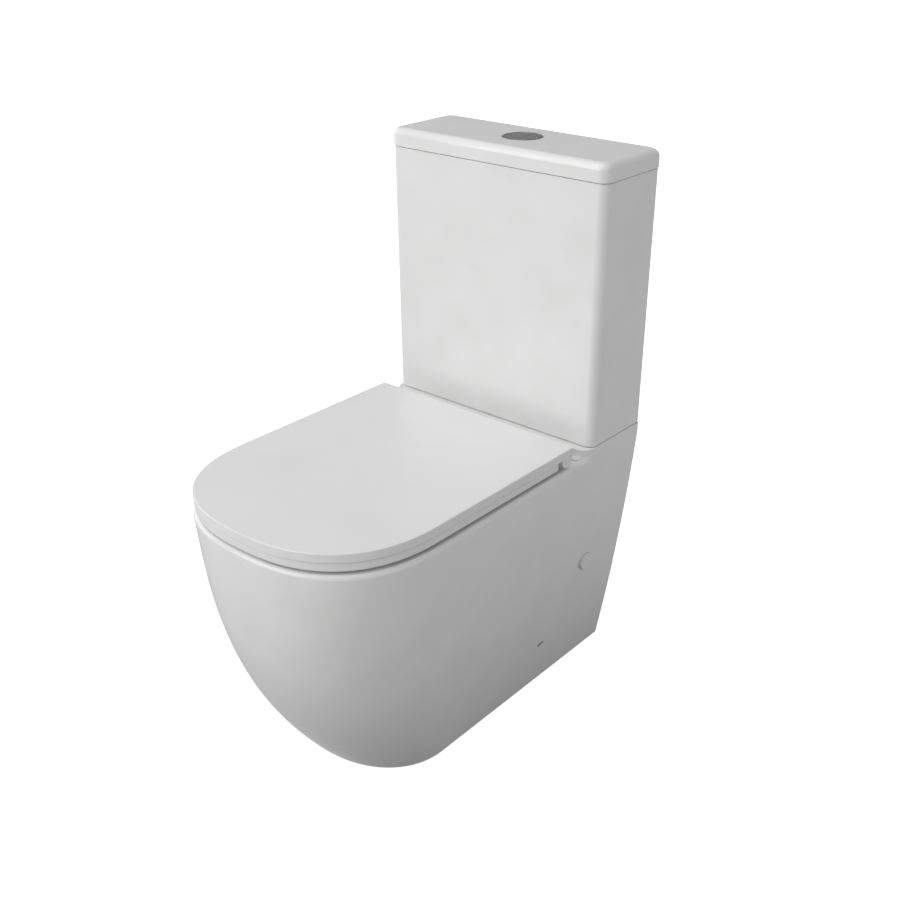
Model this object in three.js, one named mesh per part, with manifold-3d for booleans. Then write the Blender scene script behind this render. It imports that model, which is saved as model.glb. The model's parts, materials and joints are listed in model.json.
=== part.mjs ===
// Close coupled toilet: a back-to-wall rimless pan, the cistern bolted on its plinth, a soft-close seat,
// and the flush and fill valves inside the cistern.
//
// Lengths are millimetres and +Z is up. Every piece is drawn with x = 0 on the plane of symmetry, y = 0 on
// the wall behind the suite and z = 0 on the floor, so the front of the pan is at negative y. The group at
// the end moves the suite forward so that the origin lies under the middle of its outer box.

import * as THREE from 'three';
import { mergeVertices } from 'three/addons/utils/BufferGeometryUtils.js';
import Module from 'manifold-3d';

const wasm = await Module();
wasm.setup();

// ---------------------------------------------------------------- driving dimensions

const DEPTH = 646.5;                 // wall to the front of the seat lid
const RIM_Z = 404;                   // top of the pan's rim and deck
const PLINTH_Z = 417.2;              // top of the raised ledge that carries the cistern
const CISTERN_Z = 418.2;             // underside of the cistern
const CISTERN_TOP_Z = 811.8;         // top edge of the cistern's walls
const LID_Z = 812.8;                 // underside of the cistern lid's edge
const TOP_Z = 840;                   // top of the cistern lid
const FIT = 0.3;                     // gap left between pieces that touch

const pan = {
  baseHalfWidth: 138.5,              // the sides flare from here ...
  lean: 0.1831,                      // ... by this much per mm of height ...
  belly: 0.000119,                   // ... less this much times the height squared
  baseFront: 517.2,                  // how far the front of the base is from the wall
  rimFront: 645.6,                   // and the front of the rim
  frontCurve: 2.45,                  // power of the curve between them
  baseShoulder: 404.6,               // distance from the wall at which the straight sides end
  rimShoulder: 463.8,
  baseRoundness: 2.19,               // superellipse power of the rounded front
  rimRoundness: 2.46,
  wall: 12,
  deck: 12,
  rimEdge: 5,                        // rounding of the rim's outer edge
};
const plinth = { halfWidth: 192.9, depth: 142, corner: 22, rearCorner: 0.5, edge: 1.5 };

// The bowl's inner face, from rim to sump: height, half width, and distance of its front and rear from the
// wall. The glaze line between the stations is a smooth curve.
const BOWL = [
  { z: 404.5, half: 154, front: 612, rear: 258 },
  { z: 398, half: 150, front: 608, rear: 262 },
  { z: 360, half: 144, front: 602, rear: 266 },
  { z: 300, half: 126, front: 580, rear: 275 },
  { z: 240, half: 101, front: 540, rear: 285 },
  { z: 180, half: 74, front: 484, rear: 295 },
  { z: 120, half: 50, front: 424, rear: 303 },
  { z: 88, half: 32, front: 386, rear: 312 },
];
const bowl = { roundness: 2.3, shoulder: 0.47, thickness: 10 };

const trap = {                       // the water trap behind the bowl, and the outlet that follows it
  bore: 28,
  wall: 10,
  route: [                           // distance from the wall and height of points on its middle line
    [355, 116], [312, 117], [270, 142], [247, 186], [214, 220], [178, 220], [148, 197], [112, 181], [84, 180],
  ],
  spigotRadius: 51,
  spigotBore: 41,
  spigotStart: 120,
  spigotEnd: 72,
  z: 180,
};
const channel = { halfWidth: 28, floor: 362, roof: 389, wall: 12, rear: 44 };  // flush water duct

const cistern = {
  halfWidth: 192.6, depth: 127.3,    // at the underside
  topHalfWidth: 195, topDepth: 131.7,
  corner: 14, rearCorner: 1.5, edge: 0.8,
  wall: 10, floor: 14,
};
const FLOOR_Z = CISTERN_Z + cistern.floor;
const cisternLid = {
  halfWidth: 196.3, depth: 133.2, corner: 15, rearCorner: 1.5,
  edge: 11,                          // rounding of its top edge
  rearShare: 0.25,                   // share of that rounding at the wall
  ceiling: 13,                       // thickness over the hollow underside
  lipDrop: 8.8, lipWall: 8, lipPlay: 3, lipCorner: 10,
};

const FLUSH_Y = -74;                 // axis of the flush valve and of the pan's inlet
const flush = {
  gasketOuter: 49, gasketInner: 31, recess: 51.5, recessFloor: 401.2, neck: 29,
  tail: 24, bore: 20, tailZ: 396, flange: 38, seatZ: 446, ringZ: 470, ringHeight: 6,
  tubeOuter: 14, tubeInner: 12, tubeTop: 744, tubeFoot: 26,
  towerWall: 36, towerNeck: 23, headZ: 735, headRadius: 38,
  guideTop: 757, plungerZ: 742, plungerTop: 768.5,
};
const floorWasher = { z: 432.5, top: 435.5 };        // between the cistern's floor and each valve's flange
const valveFlange = { z: 435.8, top: 440 };
const backnut = { z: 407.9, top: 417.9 };            // under the cistern
const FILL_X = -140;                 // axis of the fill valve
const FILL_Y = -66;
const fill = {
  column: 13, columnTop: 700, bore: 6, tail: 10.2, tailZ: 388, flange: 17, headTop: 724,
  floatZ: 610, floatTop: 680, floatRadius: 30,
  rodX: -104, rodZ: 664, rodTop: 746, pivotX: -150, pivotZ: 730.5,
};

const BUTTON_Y = -60;                // centre of the flush buttons
const button = {
  bezel: 30, barrel: 28, opening: 26.2, disc: 25.7, split: 4, splitGap: 0.8,
  rodX: 19, top: 840.2, thickness: 4.7, housingZ: 812,
};

const BOLT_X = 76;                   // cistern bolts
const bolt = { radius: 3.9, hole: 4.3, washer: 12, bottomZ: 372, headRadius: 9, head: 4.4, washerHeight: 6 };
const seat = {
  halfWidth: 188.6, shoulder: 461, roundness: 2.44, rear: 168.5,
  lidTop: 435.5, lidBottom: 422.5,
  ringTop: 421.5, ringBottom: 408.5, ringInset: 1.6, ringRear: 200,
  apertureHalf: 112, apertureFront: 575, apertureRear: 290,
  axisY: -181, axisZ: 419.5,         // the hinge axis, shared by lid and ring
  barrel: 12.5,
};
const hinge = {
  x: 77.5, halfPost: 7.2, post: 8, pin: 3, pinBore: 3.4,
  baseHalf: 17, baseDepth: 15, baseTop: RIM_Z + 1.9,   // the thin plate that the post stands on
  lugInner: 52.5, lugOuter: 68.5, lug: 8.5,
  damper: 6.5, damperStart: 87, damperEnd: 117,
};

// ---------------------------------------------------------------- materials

const finish = (color, roughness, metalness = 0) =>
  new THREE.MeshStandardMaterial({ color, roughness, metalness });
const ceramic = finish(0xf2f2f0, 0.08);
const seatPlastic = finish(0xf0f0ef, 0.2);
const darkChrome = finish(0x8c8d8f, 0.18, 1);
const steel = finish(0xb6b8ba, 0.35, 1);
const brass = finish(0xb08d4a, 0.35, 1);
const whitePlastic = finish(0xe6e7e6, 0.45);
const greyPlastic = finish(0x9aa0a3, 0.5);
const bluePlastic = finish(0x4f7fa8, 0.45);
const rubber = finish(0x26272a, 0.85);
const clearBuffer = finish(0xdfe3e4, 0.6);

// ---------------------------------------------------------------- solids

/** Volume enclosed by an indexed geometry, negative when its faces point inwards. */
function signedVolume(geometry) {
  const p = geometry.attributes.position;
  const index = geometry.index.array;
  const [a, b, c] = [new THREE.Vector3(), new THREE.Vector3(), new THREE.Vector3()];
  let six = 0;
  for (let i = 0; i < index.length; i += 3) {
    a.fromBufferAttribute(p, index[i]);
    b.fromBufferAttribute(p, index[i + 1]);
    c.fromBufferAttribute(p, index[i + 2]);
    six += a.dot(b.cross(c));
  }
  return six / 6;
}

/** A closed geometry as a manifold solid, with its faces turned outwards. */
function solid(geometry) {
  const bare = geometry.index ? geometry.toNonIndexed() : geometry.clone();
  for (const name of Object.keys(bare.attributes)) if (name !== 'position') bare.deleteAttribute(name);
  const merged = mergeVertices(bare, 1e-4);
  const index = Uint32Array.from(merged.index.array);
  if (signedVolume(merged) < 0) {
    for (let i = 0; i < index.length; i += 3) [index[i], index[i + 1]] = [index[i + 1], index[i]];
  }
  const vertProperties = Float32Array.from(merged.attributes.position.array);
  return new wasm.Manifold(new wasm.Mesh({ numProp: 3, vertProperties, triVerts: index }));
}

const join = (first, ...rest) => rest.reduce((whole, piece) => whole.add(piece), first);
const cut = (first, ...rest) => rest.reduce((whole, piece) => whole.subtract(piece), first);

const suite = new THREE.Group();

/** Turns a manifold solid into a named mesh and adds it to the suite. */
function place(name, shape, material) {
  const { vertProperties, triVerts } = shape.getMesh();
  const geometry = new THREE.BufferGeometry();
  geometry.setAttribute('position', new THREE.BufferAttribute(vertProperties, 3));
  geometry.setIndex(new THREE.BufferAttribute(triVerts, 1));
  geometry.computeVertexNormals();
  const mesh = new THREE.Mesh(geometry, material);
  mesh.name = name;
  suite.add(mesh);
}

/** A box between two corners. */
function box([x0, y0, z0], [x1, y1, z1]) {
  const geometry = new THREE.BoxGeometry(x1 - x0, y1 - y0, z1 - z0);
  return solid(geometry.translate((x0 + x1) / 2, (y0 + y1) / 2, (z0 + z1) / 2));
}

/** A cylinder standing on end between two heights. */
function postZ(radius, x, y, z0, z1, segments = 16) {
  const geometry = new THREE.CylinderGeometry(radius, radius, z1 - z0, segments);
  return solid(geometry.rotateX(Math.PI / 2).translate(x, y, (z0 + z1) / 2));
}

/** A nut with flat sides and a round bore, its axis upright. */
const nut = (radius, sides, bore, x, y, z0, z1) =>
  cut(postZ(radius, x, y, z0, z1, sides), postZ(bore, x, y, z0 - 1, z1 + 1, 28));

/** A cylinder lying from side to side. */
function barX(radius, x0, x1, y, z, segments = 16) {
  const geometry = new THREE.CylinderGeometry(radius, radius, Math.abs(x1 - x0), segments);
  return solid(geometry.rotateZ(-Math.PI / 2).translate((x0 + x1) / 2, y, z));
}

/** A cylinder lying from front to back. */
function barY(radius, x, y0, y1, z, segments = 20) {
  const geometry = new THREE.CylinderGeometry(radius, radius, y1 - y0, segments);
  return solid(geometry.translate(x, (y0 + y1) / 2, z));
}

/** A turned piece about a vertical axis, from a closed profile of [radius, height]. */
function turned(profile, x, y, segments = 20) {
  const points = [...profile, profile[0]].map(([r, z]) => new THREE.Vector2(r, z));
  const geometry = new THREE.LatheGeometry(points, segments);
  return solid(geometry.rotateX(Math.PI / 2).translate(x, y, 0));
}

/** A flat shape drawn in side view (y, z) and extruded from side to side. */
function sideExtrusion(shape, x0, x1) {
  const settings = { depth: x1 - x0, bevelEnabled: false, curveSegments: 8 };
  const geometry = new THREE.ExtrudeGeometry(shape, settings);
  const toSideView = new THREE.Matrix4().makeBasis(
    new THREE.Vector3(0, 1, 0), new THREE.Vector3(0, 0, 1), new THREE.Vector3(1, 0, 0));
  return solid(geometry.applyMatrix4(toSideView).translate(x0, 0, 0));
}

/**
 * A body through a stack of outlines. Each outline is { z, points } with the same number of [x, y] points,
 * anticlockwise from above; the cylinder's rings are moved onto them, lowest first.
 */
function loft(outlines) {
  const count = outlines[0].points.length;
  const geometry = new THREE.CylinderGeometry(1, 1, 1, count, outlines.length - 1);
  const mean = (points, k) => points.reduce((sum, p) => sum + p[k], 0) / count;
  const middles = outlines.map(({ points }) => [mean(points, 0), mean(points, 1)]);
  const p = geometry.attributes.position;
  for (let i = 0; i < p.count; i++) {
    const level = Math.round((p.getY(i) + 0.5) * (outlines.length - 1));
    const turn = Math.atan2(-p.getZ(i), p.getX(i)) / (2 * Math.PI);
    const onAxis = Math.hypot(p.getX(i), p.getZ(i)) < 0.5;
    const spot = Math.round(turn * count + count) % count;
    const [x, y] = onAxis ? middles[level] : outlines[level].points[spot];
    p.setXYZ(i, x, y, outlines[level].z);
  }
  return solid(geometry);
}

// ---------------------------------------------------------------- outlines, all anticlockwise from above

/** One point of a superellipse: its half axes, its power and the angle. */
function superellipsePoint(a, b, power, angle) {
  const [c, s] = [Math.cos(angle), Math.sin(angle)];
  return [a * Math.sign(c) * Math.abs(c) ** (2 / power), b * Math.sign(s) * Math.abs(s) ** (2 / power)];
}

/** A D: a straight rear, straight sides to the shoulder, and a rounded front. Distances are from the wall. */
function dOutline({ half, front, shoulder, power, rear = 0, rearCorner = 0 }, steps = 22) {
  const points = [];
  for (let i = 0; i <= steps; i++) {
    const [x, y] = superellipsePoint(half, front - shoulder, power, Math.PI * (1 + i / steps));
    points.push([x, y - shoulder]);
  }
  return points.concat(cornerArc(half, -rear, rearCorner, 0), cornerArc(-half, -rear, rearCorner, 1));
}

/** The points round a square corner; quarter 0 is the rear right, then anticlockwise. */
function cornerArc(x, y, radius, quarter, steps = 3) {
  if (radius === 0) return [[x, y]];
  const [cx, cy] = [x - radius * Math.sign(x), y + radius * (quarter < 2 ? -1 : 1)];
  const points = [];
  for (let i = 0; i <= steps; i++) {
    const angle = (quarter + i / steps) * Math.PI / 2;
    points.push([cx + radius * Math.cos(angle), cy + radius * Math.sin(angle)]);
  }
  return points;
}

/** A rectangle against the wall with rounded corners: half width, front and rear distance from the wall. */
function boxOutline(half, front, rear, corner, rearCorner) {
  return [
    ...cornerArc(half, -rear, rearCorner, 0),
    ...cornerArc(-half, -rear, rearCorner, 1),
    ...cornerArc(-half, -front, corner, 2),
    ...cornerArc(half, -front, corner, 3),
  ];
}

/** An egg: one half width, with its own length in front of and behind the widest place. */
function eggOutline(half, front, rear, shoulderShare, power, steps = 24) {
  const widest = rear + (front - rear) * shoulderShare;
  const points = [];
  for (let i = 0; i < steps; i++) {
    const angle = 2 * Math.PI * i / steps;
    const length = Math.sin(angle) < 0 ? front - widest : widest - rear;
    const [x, y] = superellipsePoint(half, length, power, angle);
    points.push([x, y - widest]);
  }
  return points;
}

// ---------------------------------------------------------------- pan

const panHalfWidth = (z) => pan.baseHalfWidth + pan.lean * z - pan.belly * z * z;
function panOutline(z, inset, rear) {
  const t = Math.min(Math.max(z / RIM_Z, 0), 1);
  const blend = (low, high) => low + (high - low) * t;
  return {
    z,
    points: dOutline({
      half: panHalfWidth(Math.max(z, 0)) - inset,
      front: pan.rimFront - (pan.rimFront - pan.baseFront) * (1 - t) ** pan.frontCurve - inset,
      shoulder: blend(pan.baseShoulder, pan.rimShoulder),
      power: blend(pan.baseRoundness, pan.rimRoundness),
      rear,
    }),
  };
}

function panBody() {
  const heights = [0, 50, 105, 165, 235, 315, RIM_Z - pan.rimEdge];
  const outside = loft([
    ...heights.map((z) => panOutline(z, 0, 0)),
    panOutline(RIM_Z, pan.rimEdge, 0),
  ]);
  const ledge = loft([[370, 2.5], [RIM_Z, 0], [PLINTH_Z - plinth.edge, 0], [PLINTH_Z, plinth.edge]].map(
    ([z, inset]) => ({
      z,
      points: boxOutline(plinth.halfWidth - inset, plinth.depth - inset, 0, plinth.corner, plinth.rearCorner),
    })));
  const hollow = loft([-5, 70, 140, 220, 310, RIM_Z - pan.deck].map((z) => panOutline(z, pan.wall, -5)));
  return cut(join(outside, ledge), hollow);
}

/** The bowl between rim and sump, grown outwards by a thickness. */
function bowlShape(grow) {
  return loft([...BOWL].reverse().map(({ z, half, front, rear }, i) => ({
    z: Math.min(i === 0 ? z - grow : z, grow ? RIM_Z - 1 : z),
    points: eggOutline(half + grow, front + grow, rear - grow, bowl.shoulder, bowl.roundness),
  })));
}

/** The trap's passage as a tube of one radius along its route. */
function trapShape(radius) {
  const points = trap.route.map(([fromWall, z]) => new THREE.Vector3(0, -fromWall, z));
  const route = new THREE.CatmullRomCurve3(points);
  const section = new THREE.Shape().absarc(0, 0, radius, 0, 2 * Math.PI);
  return solid(new THREE.ExtrudeGeometry(section, { steps: 11, curveSegments: 6, extrudePath: route }));
}

/** The side openings: a round access hole with a cap, and a slot for the fixing screw. */
const capHole = { fromWall: 96, z: 202, radius: 14, cap: 16.4, seat: 2.6, proud: 3.4, plug: 14 };
const fixing = { fromWall: 182.5, z: 80, slot: 16, slotHeight: 7, ledge: 9.5, screw: 2.5, screwHead: 3.4 };

/** A round bar at the access hole, from one distance off the pan's side there to another. */
function capBar(radius, x0, x1, side, segments = 24) {
  const wallX = panHalfWidth(capHole.z);
  return barX(radius, side * (wallX + x0), side * (wallX + x1), -capHole.fromWall, capHole.z, segments);
}

/** A slot with round ends, lying front to back and cut from side to side. */
function slotX(length, height, x0, x1) {
  const [reach, r] = [(length - height) / 2, height / 2];
  const shape = new THREE.Shape();
  shape.absarc(reach, 0, r, -Math.PI / 2, Math.PI / 2);
  shape.absarc(-reach, 0, r, Math.PI / 2, 1.5 * Math.PI);
  return sideExtrusion(shape, Math.min(x0, x1), Math.max(x0, x1)).translate(0, -fixing.fromWall, fixing.z);
}

function makePan() {
  const { halfWidth, floor, roof, wall, rear } = channel;
  const front = -(BOWL[2].rear + bowl.thickness);
  const additions = [
    bowlShape(bowl.thickness),
    trapShape(trap.bore + trap.wall),
    barY(trap.spigotRadius, 0, -trap.spigotStart, -trap.spigotEnd, trap.z, 24),
    box([-halfWidth - wall, front, floor - wall], [halfWidth + wall, -rear + wall, RIM_Z - 2]),
  ];
  const cuts = [
    bowlShape(0),
    trapShape(trap.bore),
    barY(trap.spigotBore, 0, -trap.spigotStart + 8, -trap.spigotEnd + 1, trap.z, 20),
    box([-halfWidth, front - 30, floor], [halfWidth, -rear, roof]),
    postZ(flush.neck, 0, FLUSH_Y, roof - 2, RIM_Z, 28),
    postZ(flush.recess, 0, FLUSH_Y, flush.recessFloor, PLINTH_Z + 1, 32),
    postZ(25, FILL_X, FILL_Y, RIM_Z - 30, PLINTH_Z + 1, 24),
  ];
  for (const side of [-1, 1]) {
    const wallX = side * panHalfWidth(fixing.z);
    cuts.push(
      postZ(6, side * BOLT_X, FLUSH_Y, RIM_Z - 30, PLINTH_Z + 1, 16),
      postZ(7, side * hinge.x, seat.axisY, RIM_Z - 30, RIM_Z + 1, 16),
      capBar(capHole.radius, -30, 10, side),
      capBar(capHole.cap + FIT, -capHole.seat, 10, side),
      slotX(fixing.slot, fixing.slotHeight, wallX - side * fixing.ledge, wallX + side * 10),
      slotX(12, 6, wallX - side * 25, wallX),
    );
  }
  return cut(join(panBody(), ...additions), ...cuts);
}
place('pan', makePan(), ceramic);

for (const [side, name] of [[-1, 'left'], [1, 'right']]) {
  const cap = join(
    capBar(capHole.cap, FIT - capHole.seat, capHole.proud, side),
    capBar(capHole.radius - FIT, -capHole.plug, 0, side));
  place(`side_cap_${name}`, cap, seatPlastic);

  // An angle screwed to the floor inside the pan; the screw through the pan's side holds the pan to it.
  const [near, far] = [112 * side, 116 * side];
  const y0 = -fixing.fromWall - 20;
  const [left, right] = [Math.min(near, far), Math.max(near, far)];
  const angle = cut(
    join(
      box([left, y0, 0], [right, y0 + 40, 100]),
      box([Math.min(76 * side, far), y0, 0], [Math.max(76 * side, far), y0 + 40, 4])),
    barX(2.9, 105 * side, 120 * side, -fixing.fromWall, fixing.z, 12),
    postZ(4, 92 * side, -fixing.fromWall, -1, 5, 12));
  place(`floor_bracket_${name}`, angle, steel);

  const ledgeX = panHalfWidth(fixing.z) - fixing.ledge;
  const screw = join(
    barX(fixing.screwHead, side * (ledgeX + FIT), side * (ledgeX + 3), -fixing.fromWall, fixing.z, 16),
    barX(fixing.screw, side * 104, side * (ledgeX + 1), -fixing.fromWall, fixing.z, 12));
  place(`bracket_screw_${name}`, screw, steel);
}

const collar = turned([
  [trap.spigotRadius + 0.4, 66], [56, 66], [58.5, 74], [56, 78], [58.5, 90], [56, 94],
  [trap.spigotRadius + 0.4, 108],
], 0, 0, 24);
place('outlet_seal', collar.rotate([90, 0, 0]).translate(0, 0, trap.z), rubber);

// ---------------------------------------------------------------- cistern and its lid

const tapered = (inset, rearInset, z) => {
  const t = (z - CISTERN_Z) / (CISTERN_TOP_Z - CISTERN_Z);
  return {
    z,
    points: boxOutline(
      cistern.halfWidth + (cistern.topHalfWidth - cistern.halfWidth) * t - inset,
      cistern.depth + (cistern.topDepth - cistern.depth) * t - inset,
      rearInset, cistern.corner - inset * 0.7, cistern.rearCorner),
  };
};

function makeCistern() {
  const { edge, wall } = cistern;
  const outside = loft([
    tapered(edge, 0, CISTERN_Z), tapered(0, 0, CISTERN_Z + edge),
    tapered(0, 0, CISTERN_TOP_Z - edge), tapered(edge, 0, CISTERN_TOP_Z),
  ]);
  const inside = loft([tapered(wall, wall, FLOOR_Z), tapered(wall, wall, CISTERN_TOP_Z + 1)]);
  const floorHole = (radius, x, y, segments) => postZ(radius, x, y, CISTERN_Z - 1, FLOOR_Z + 1, segments);
  return cut(outside, inside,
    floorHole(27, 0, FLUSH_Y, 28),
    floorHole(12, FILL_X, FILL_Y, 20),
    floorHole(5.5, -BOLT_X, FLUSH_Y, 16),
    floorHole(5.5, BOLT_X, FLUSH_Y, 16));
}
place('cistern', makeCistern(), ceramic);

function makeCisternLid() {
  const { halfWidth, depth, corner, rearCorner, edge, rearShare } = cisternLid;
  const { ceiling, lipDrop, lipWall, lipPlay, lipCorner } = cisternLid;
  const rounded = [0, 1, 2, 3].map((i) => {
    const angle = i / 3 * Math.PI / 2;
    return [TOP_Z - edge * (1 - Math.sin(angle)), edge * (1 - Math.cos(angle))];
  });
  const slab = loft([[LID_Z, 0.8], [LID_Z + 0.8, 0], ...rounded].map(([z, inset]) => ({
    z,
    points: boxOutline(
      halfWidth - inset, depth - inset, inset * rearShare, corner - inset * 0.6, rearCorner + inset * 0.8),
  })));
  const lipInset = cistern.wall + lipPlay;
  const ring = (inset, z) => ({
    z, points: boxOutline(cistern.topHalfWidth - inset, cistern.topDepth - inset, inset, lipCorner, lipCorner),
  });
  const lip = loft([ring(lipInset, LID_Z - lipDrop), ring(lipInset, LID_Z + 4)]);
  const hollowInset = lipInset + lipWall;
  const hollow = loft([ring(hollowInset, LID_Z - lipDrop - 1), ring(hollowInset, TOP_Z - ceiling)]);
  return cut(join(slab, lip), hollow,
    postZ(button.barrel + 0.6, 0, BUTTON_Y, LID_Z, TOP_Z + 1, 32),
    postZ(button.bezel + 0.6, 0, BUTTON_Y, TOP_Z - 2.8, TOP_Z + 1, 32));
}
place('cistern_lid', makeCisternLid(), ceramic);

// ---------------------------------------------------------------- close coupling kit

const { gasketInner, gasketOuter, recessFloor } = flush;
place('coupling_gasket', turned([
  [gasketInner, recessFloor + 0.4], [gasketOuter - 2, recessFloor + 0.4], [gasketOuter, CISTERN_Z - FIT],
  [gasketInner, CISTERN_Z - FIT],
], 0, FLUSH_Y, 24), rubber);

const underDeck = RIM_Z - pan.deck - FIT;    // where nuts bear against the underside of the deck
for (const [side, name] of [[-1, 'left'], [1, 'right']]) {
  const x = side * BOLT_X;
  const washerZ = FLOOR_Z + FIT;
  const washerTop = washerZ + bolt.washerHeight;
  const headZ = washerTop + FIT;
  place(`cistern_bolt_${name}`, turned([
    [0, bolt.bottomZ], [bolt.radius, bolt.bottomZ], [bolt.radius, headZ], [bolt.headRadius, headZ],
    [bolt.headRadius, headZ + 2], [5, headZ + bolt.head], [0, headZ + bolt.head],
  ], x, FLUSH_Y, 16), brass);
  place(`bolt_cone_washer_${name}`, turned([
    [bolt.hole, washerZ], [9, washerZ], [bolt.washer, washerTop], [bolt.hole, washerTop],
  ], x, FLUSH_Y, 16), rubber);
  const wings = box([x - 19, FLUSH_Y - 2, underDeck - 13], [x + 19, FLUSH_Y + 2, underDeck - 2]);
  const wingNut = cut(
    join(postZ(9, x, FLUSH_Y, underDeck - 9, underDeck, 16), wings),
    postZ(bolt.hole, x, FLUSH_Y, underDeck - 20, underDeck + 1, 12));
  place(`wing_nut_${name}`, wingNut, brass);
}

// ---------------------------------------------------------------- flush valve

function makeFlushValveBase() {
  const { tail, bore, tailZ, flange, seatZ, ringZ, ringHeight } = flush;
  const outlet = turned([
    [bore, tailZ], [tail, tailZ], [tail, valveFlange.z], [flange, valveFlange.z],
    [flange, valveFlange.top], [tail, valveFlange.top], [tail, seatZ], [bore, seatZ],
  ], 0, FLUSH_Y, 24);
  const collarRing = turned([
    [31, ringZ], [flange, ringZ], [flange, ringZ + ringHeight], [31, ringZ + ringHeight]], 0, FLUSH_Y, 24);
  const legs = [0, 1, 2, 3].map((k) => {
    const leg = new THREE.BoxGeometry(5, 9, ringZ - valveFlange.top + 2)
      .translate(34, 0, (ringZ + valveFlange.top) / 2);
    return solid(leg.rotateZ((k + 0.5) * Math.PI / 2).translate(0, FLUSH_Y, 0));
  });
  return join(outlet, collarRing, ...legs);
}
place('flush_valve_base', makeFlushValveBase(), whitePlastic);
place('flush_valve_washer', turned([
  [24.5, floorWasher.z], [36, floorWasher.z], [36, floorWasher.top], [24.5, floorWasher.top],
], 0, FLUSH_Y, 24), rubber);
place('flush_valve_backnut', nut(30.4, 12, 24.5, 0, FLUSH_Y, backnut.z, backnut.top), whitePlastic);

function makeFlushValveTower() {
  const { headZ, headRadius, tubeOuter, towerWall, towerNeck, guideTop, ringZ, ringHeight } = flush;
  const [footZ, shoulderZ, headUnder] = [ringZ + ringHeight + 0.4, 578, headZ - 4];
  const housing = turned([
    [towerWall - 3, footZ], [towerWall, footZ], [towerWall, shoulderZ], [towerNeck, shoulderZ + 6],
    [towerNeck, headUnder - 2], [headRadius, headUnder], [headRadius, headZ], [tubeOuter, headZ],
    [tubeOuter, headUnder], [towerNeck - 3, headUnder - 2], [towerNeck - 3, shoulderZ + 8],
    [towerWall - 3, shoulderZ - 3],
  ], 0, FLUSH_Y, 24);
  const guides = [-1, 1].map((side) => postZ(9, side * button.rodX, BUTTON_Y, headZ - 1, guideTop, 16));
  const bores = [-1, 1].map((side) =>
    postZ(6.4, side * button.rodX, BUTTON_Y, headZ - 2.5, guideTop + 3, 16));
  return cut(join(housing, ...guides), ...bores,
    postZ(tubeOuter + 0.8, 0, FLUSH_Y, headUnder - 6, guideTop + 3, 24));
}
place('flush_valve_tower', makeFlushValveTower(), bluePlastic);

const { tubeInner, tubeOuter, tubeTop, tubeFoot, seatZ, plungerZ, plungerTop } = flush;
place('overflow_tube', turned([
  [tubeInner, seatZ + 4], [tubeFoot, seatZ + 4], [tubeFoot, seatZ + 8], [tubeOuter, seatZ + 9],
  [tubeOuter, tubeTop], [tubeInner, tubeTop],
], 0, FLUSH_Y, 24), whitePlastic);
place('flush_valve_seal', turned([
  [tubeInner, seatZ + FIT], [tubeFoot + 1, seatZ + FIT], [tubeFoot + 1, seatZ + 4 - FIT],
  [tubeInner, seatZ + 4 - FIT],
], 0, FLUSH_Y, 24), rubber);

for (const [side, name] of [[-1, 'full'], [1, 'half']]) {
  place(`${name}_flush_plunger`, turned([
    [0, plungerZ], [6, plungerZ], [6, plungerTop - 2.5], [8, plungerTop - 2.5], [8, plungerTop], [0, plungerTop],
  ], side * button.rodX, BUTTON_Y, 16), greyPlastic);
}

// ---------------------------------------------------------------- fill valve

place('fill_valve_body', turned([
  [fill.bore, fill.tailZ], [fill.tail, fill.tailZ], [fill.tail, valveFlange.z], [fill.flange, valveFlange.z],
  [fill.flange, valveFlange.top + 1], [fill.column, valveFlange.top + 3], [fill.column, fill.floatZ - 4],
  [16, fill.floatZ - 4], [16, fill.floatZ - 0.6], [fill.column, fill.floatZ - 0.6],
  [fill.column, fill.columnTop], [0, fill.columnTop], [0, fill.columnTop - 10], [fill.bore, fill.columnTop - 10],
], FILL_X, FILL_Y, 20), whitePlastic);
place('fill_valve_washer', turned([
  [10.6, floorWasher.z], [18, floorWasher.z], [18, floorWasher.top], [10.6, floorWasher.top],
], FILL_X, FILL_Y, 20), rubber);
place('fill_valve_backnut', nut(17, 6, 10.6, FILL_X, FILL_Y, backnut.z, backnut.top), brass);

function makeFillValveHead() {
  const { pivotX, pivotZ, columnTop, headTop } = fill;
  const cap = postZ(17, FILL_X, FILL_Y, columnTop + FIT, headTop, 24);
  const ears = [-10, 6.5].map((offset) =>
    box([pivotX - 5, FILL_Y + offset, headTop - 2], [pivotX + 5, FILL_Y + offset + 3.5, pivotZ + 6]));
  return cut(join(cap, ...ears), barY(2.9, pivotX, FILL_Y - 12, FILL_Y + 12, pivotZ, 12));
}
place('fill_valve_head', makeFillValveHead(), greyPlastic);

function makeFloat() {
  const { floatZ, floatTop, floatRadius, column, rodX } = fill;
  const cup = turned([
    [column + 0.8, floatZ], [column + 3, floatZ], [column + 3, floatTop - 4], [floatRadius - 2.5, floatTop - 4],
    [floatRadius - 2.5, floatZ + 2], [floatRadius, floatZ + 2], [floatRadius, floatTop], [column + 0.8, floatTop],
  ], FILL_X, FILL_Y, 24);
  const ear = box([FILL_X + 26, FILL_Y - 6, floatTop - 10], [rodX + 6, FILL_Y + 6, floatTop - 1]);
  return cut(join(cup, ear), postZ(2.5, rodX, FILL_Y, floatTop - 20, floatTop + 10, 12));
}
place('float_cup', makeFloat(), whitePlastic);
place('float_rod', postZ(2.2, fill.rodX, FILL_Y, fill.rodZ, fill.rodTop, 12), steel);

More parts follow.
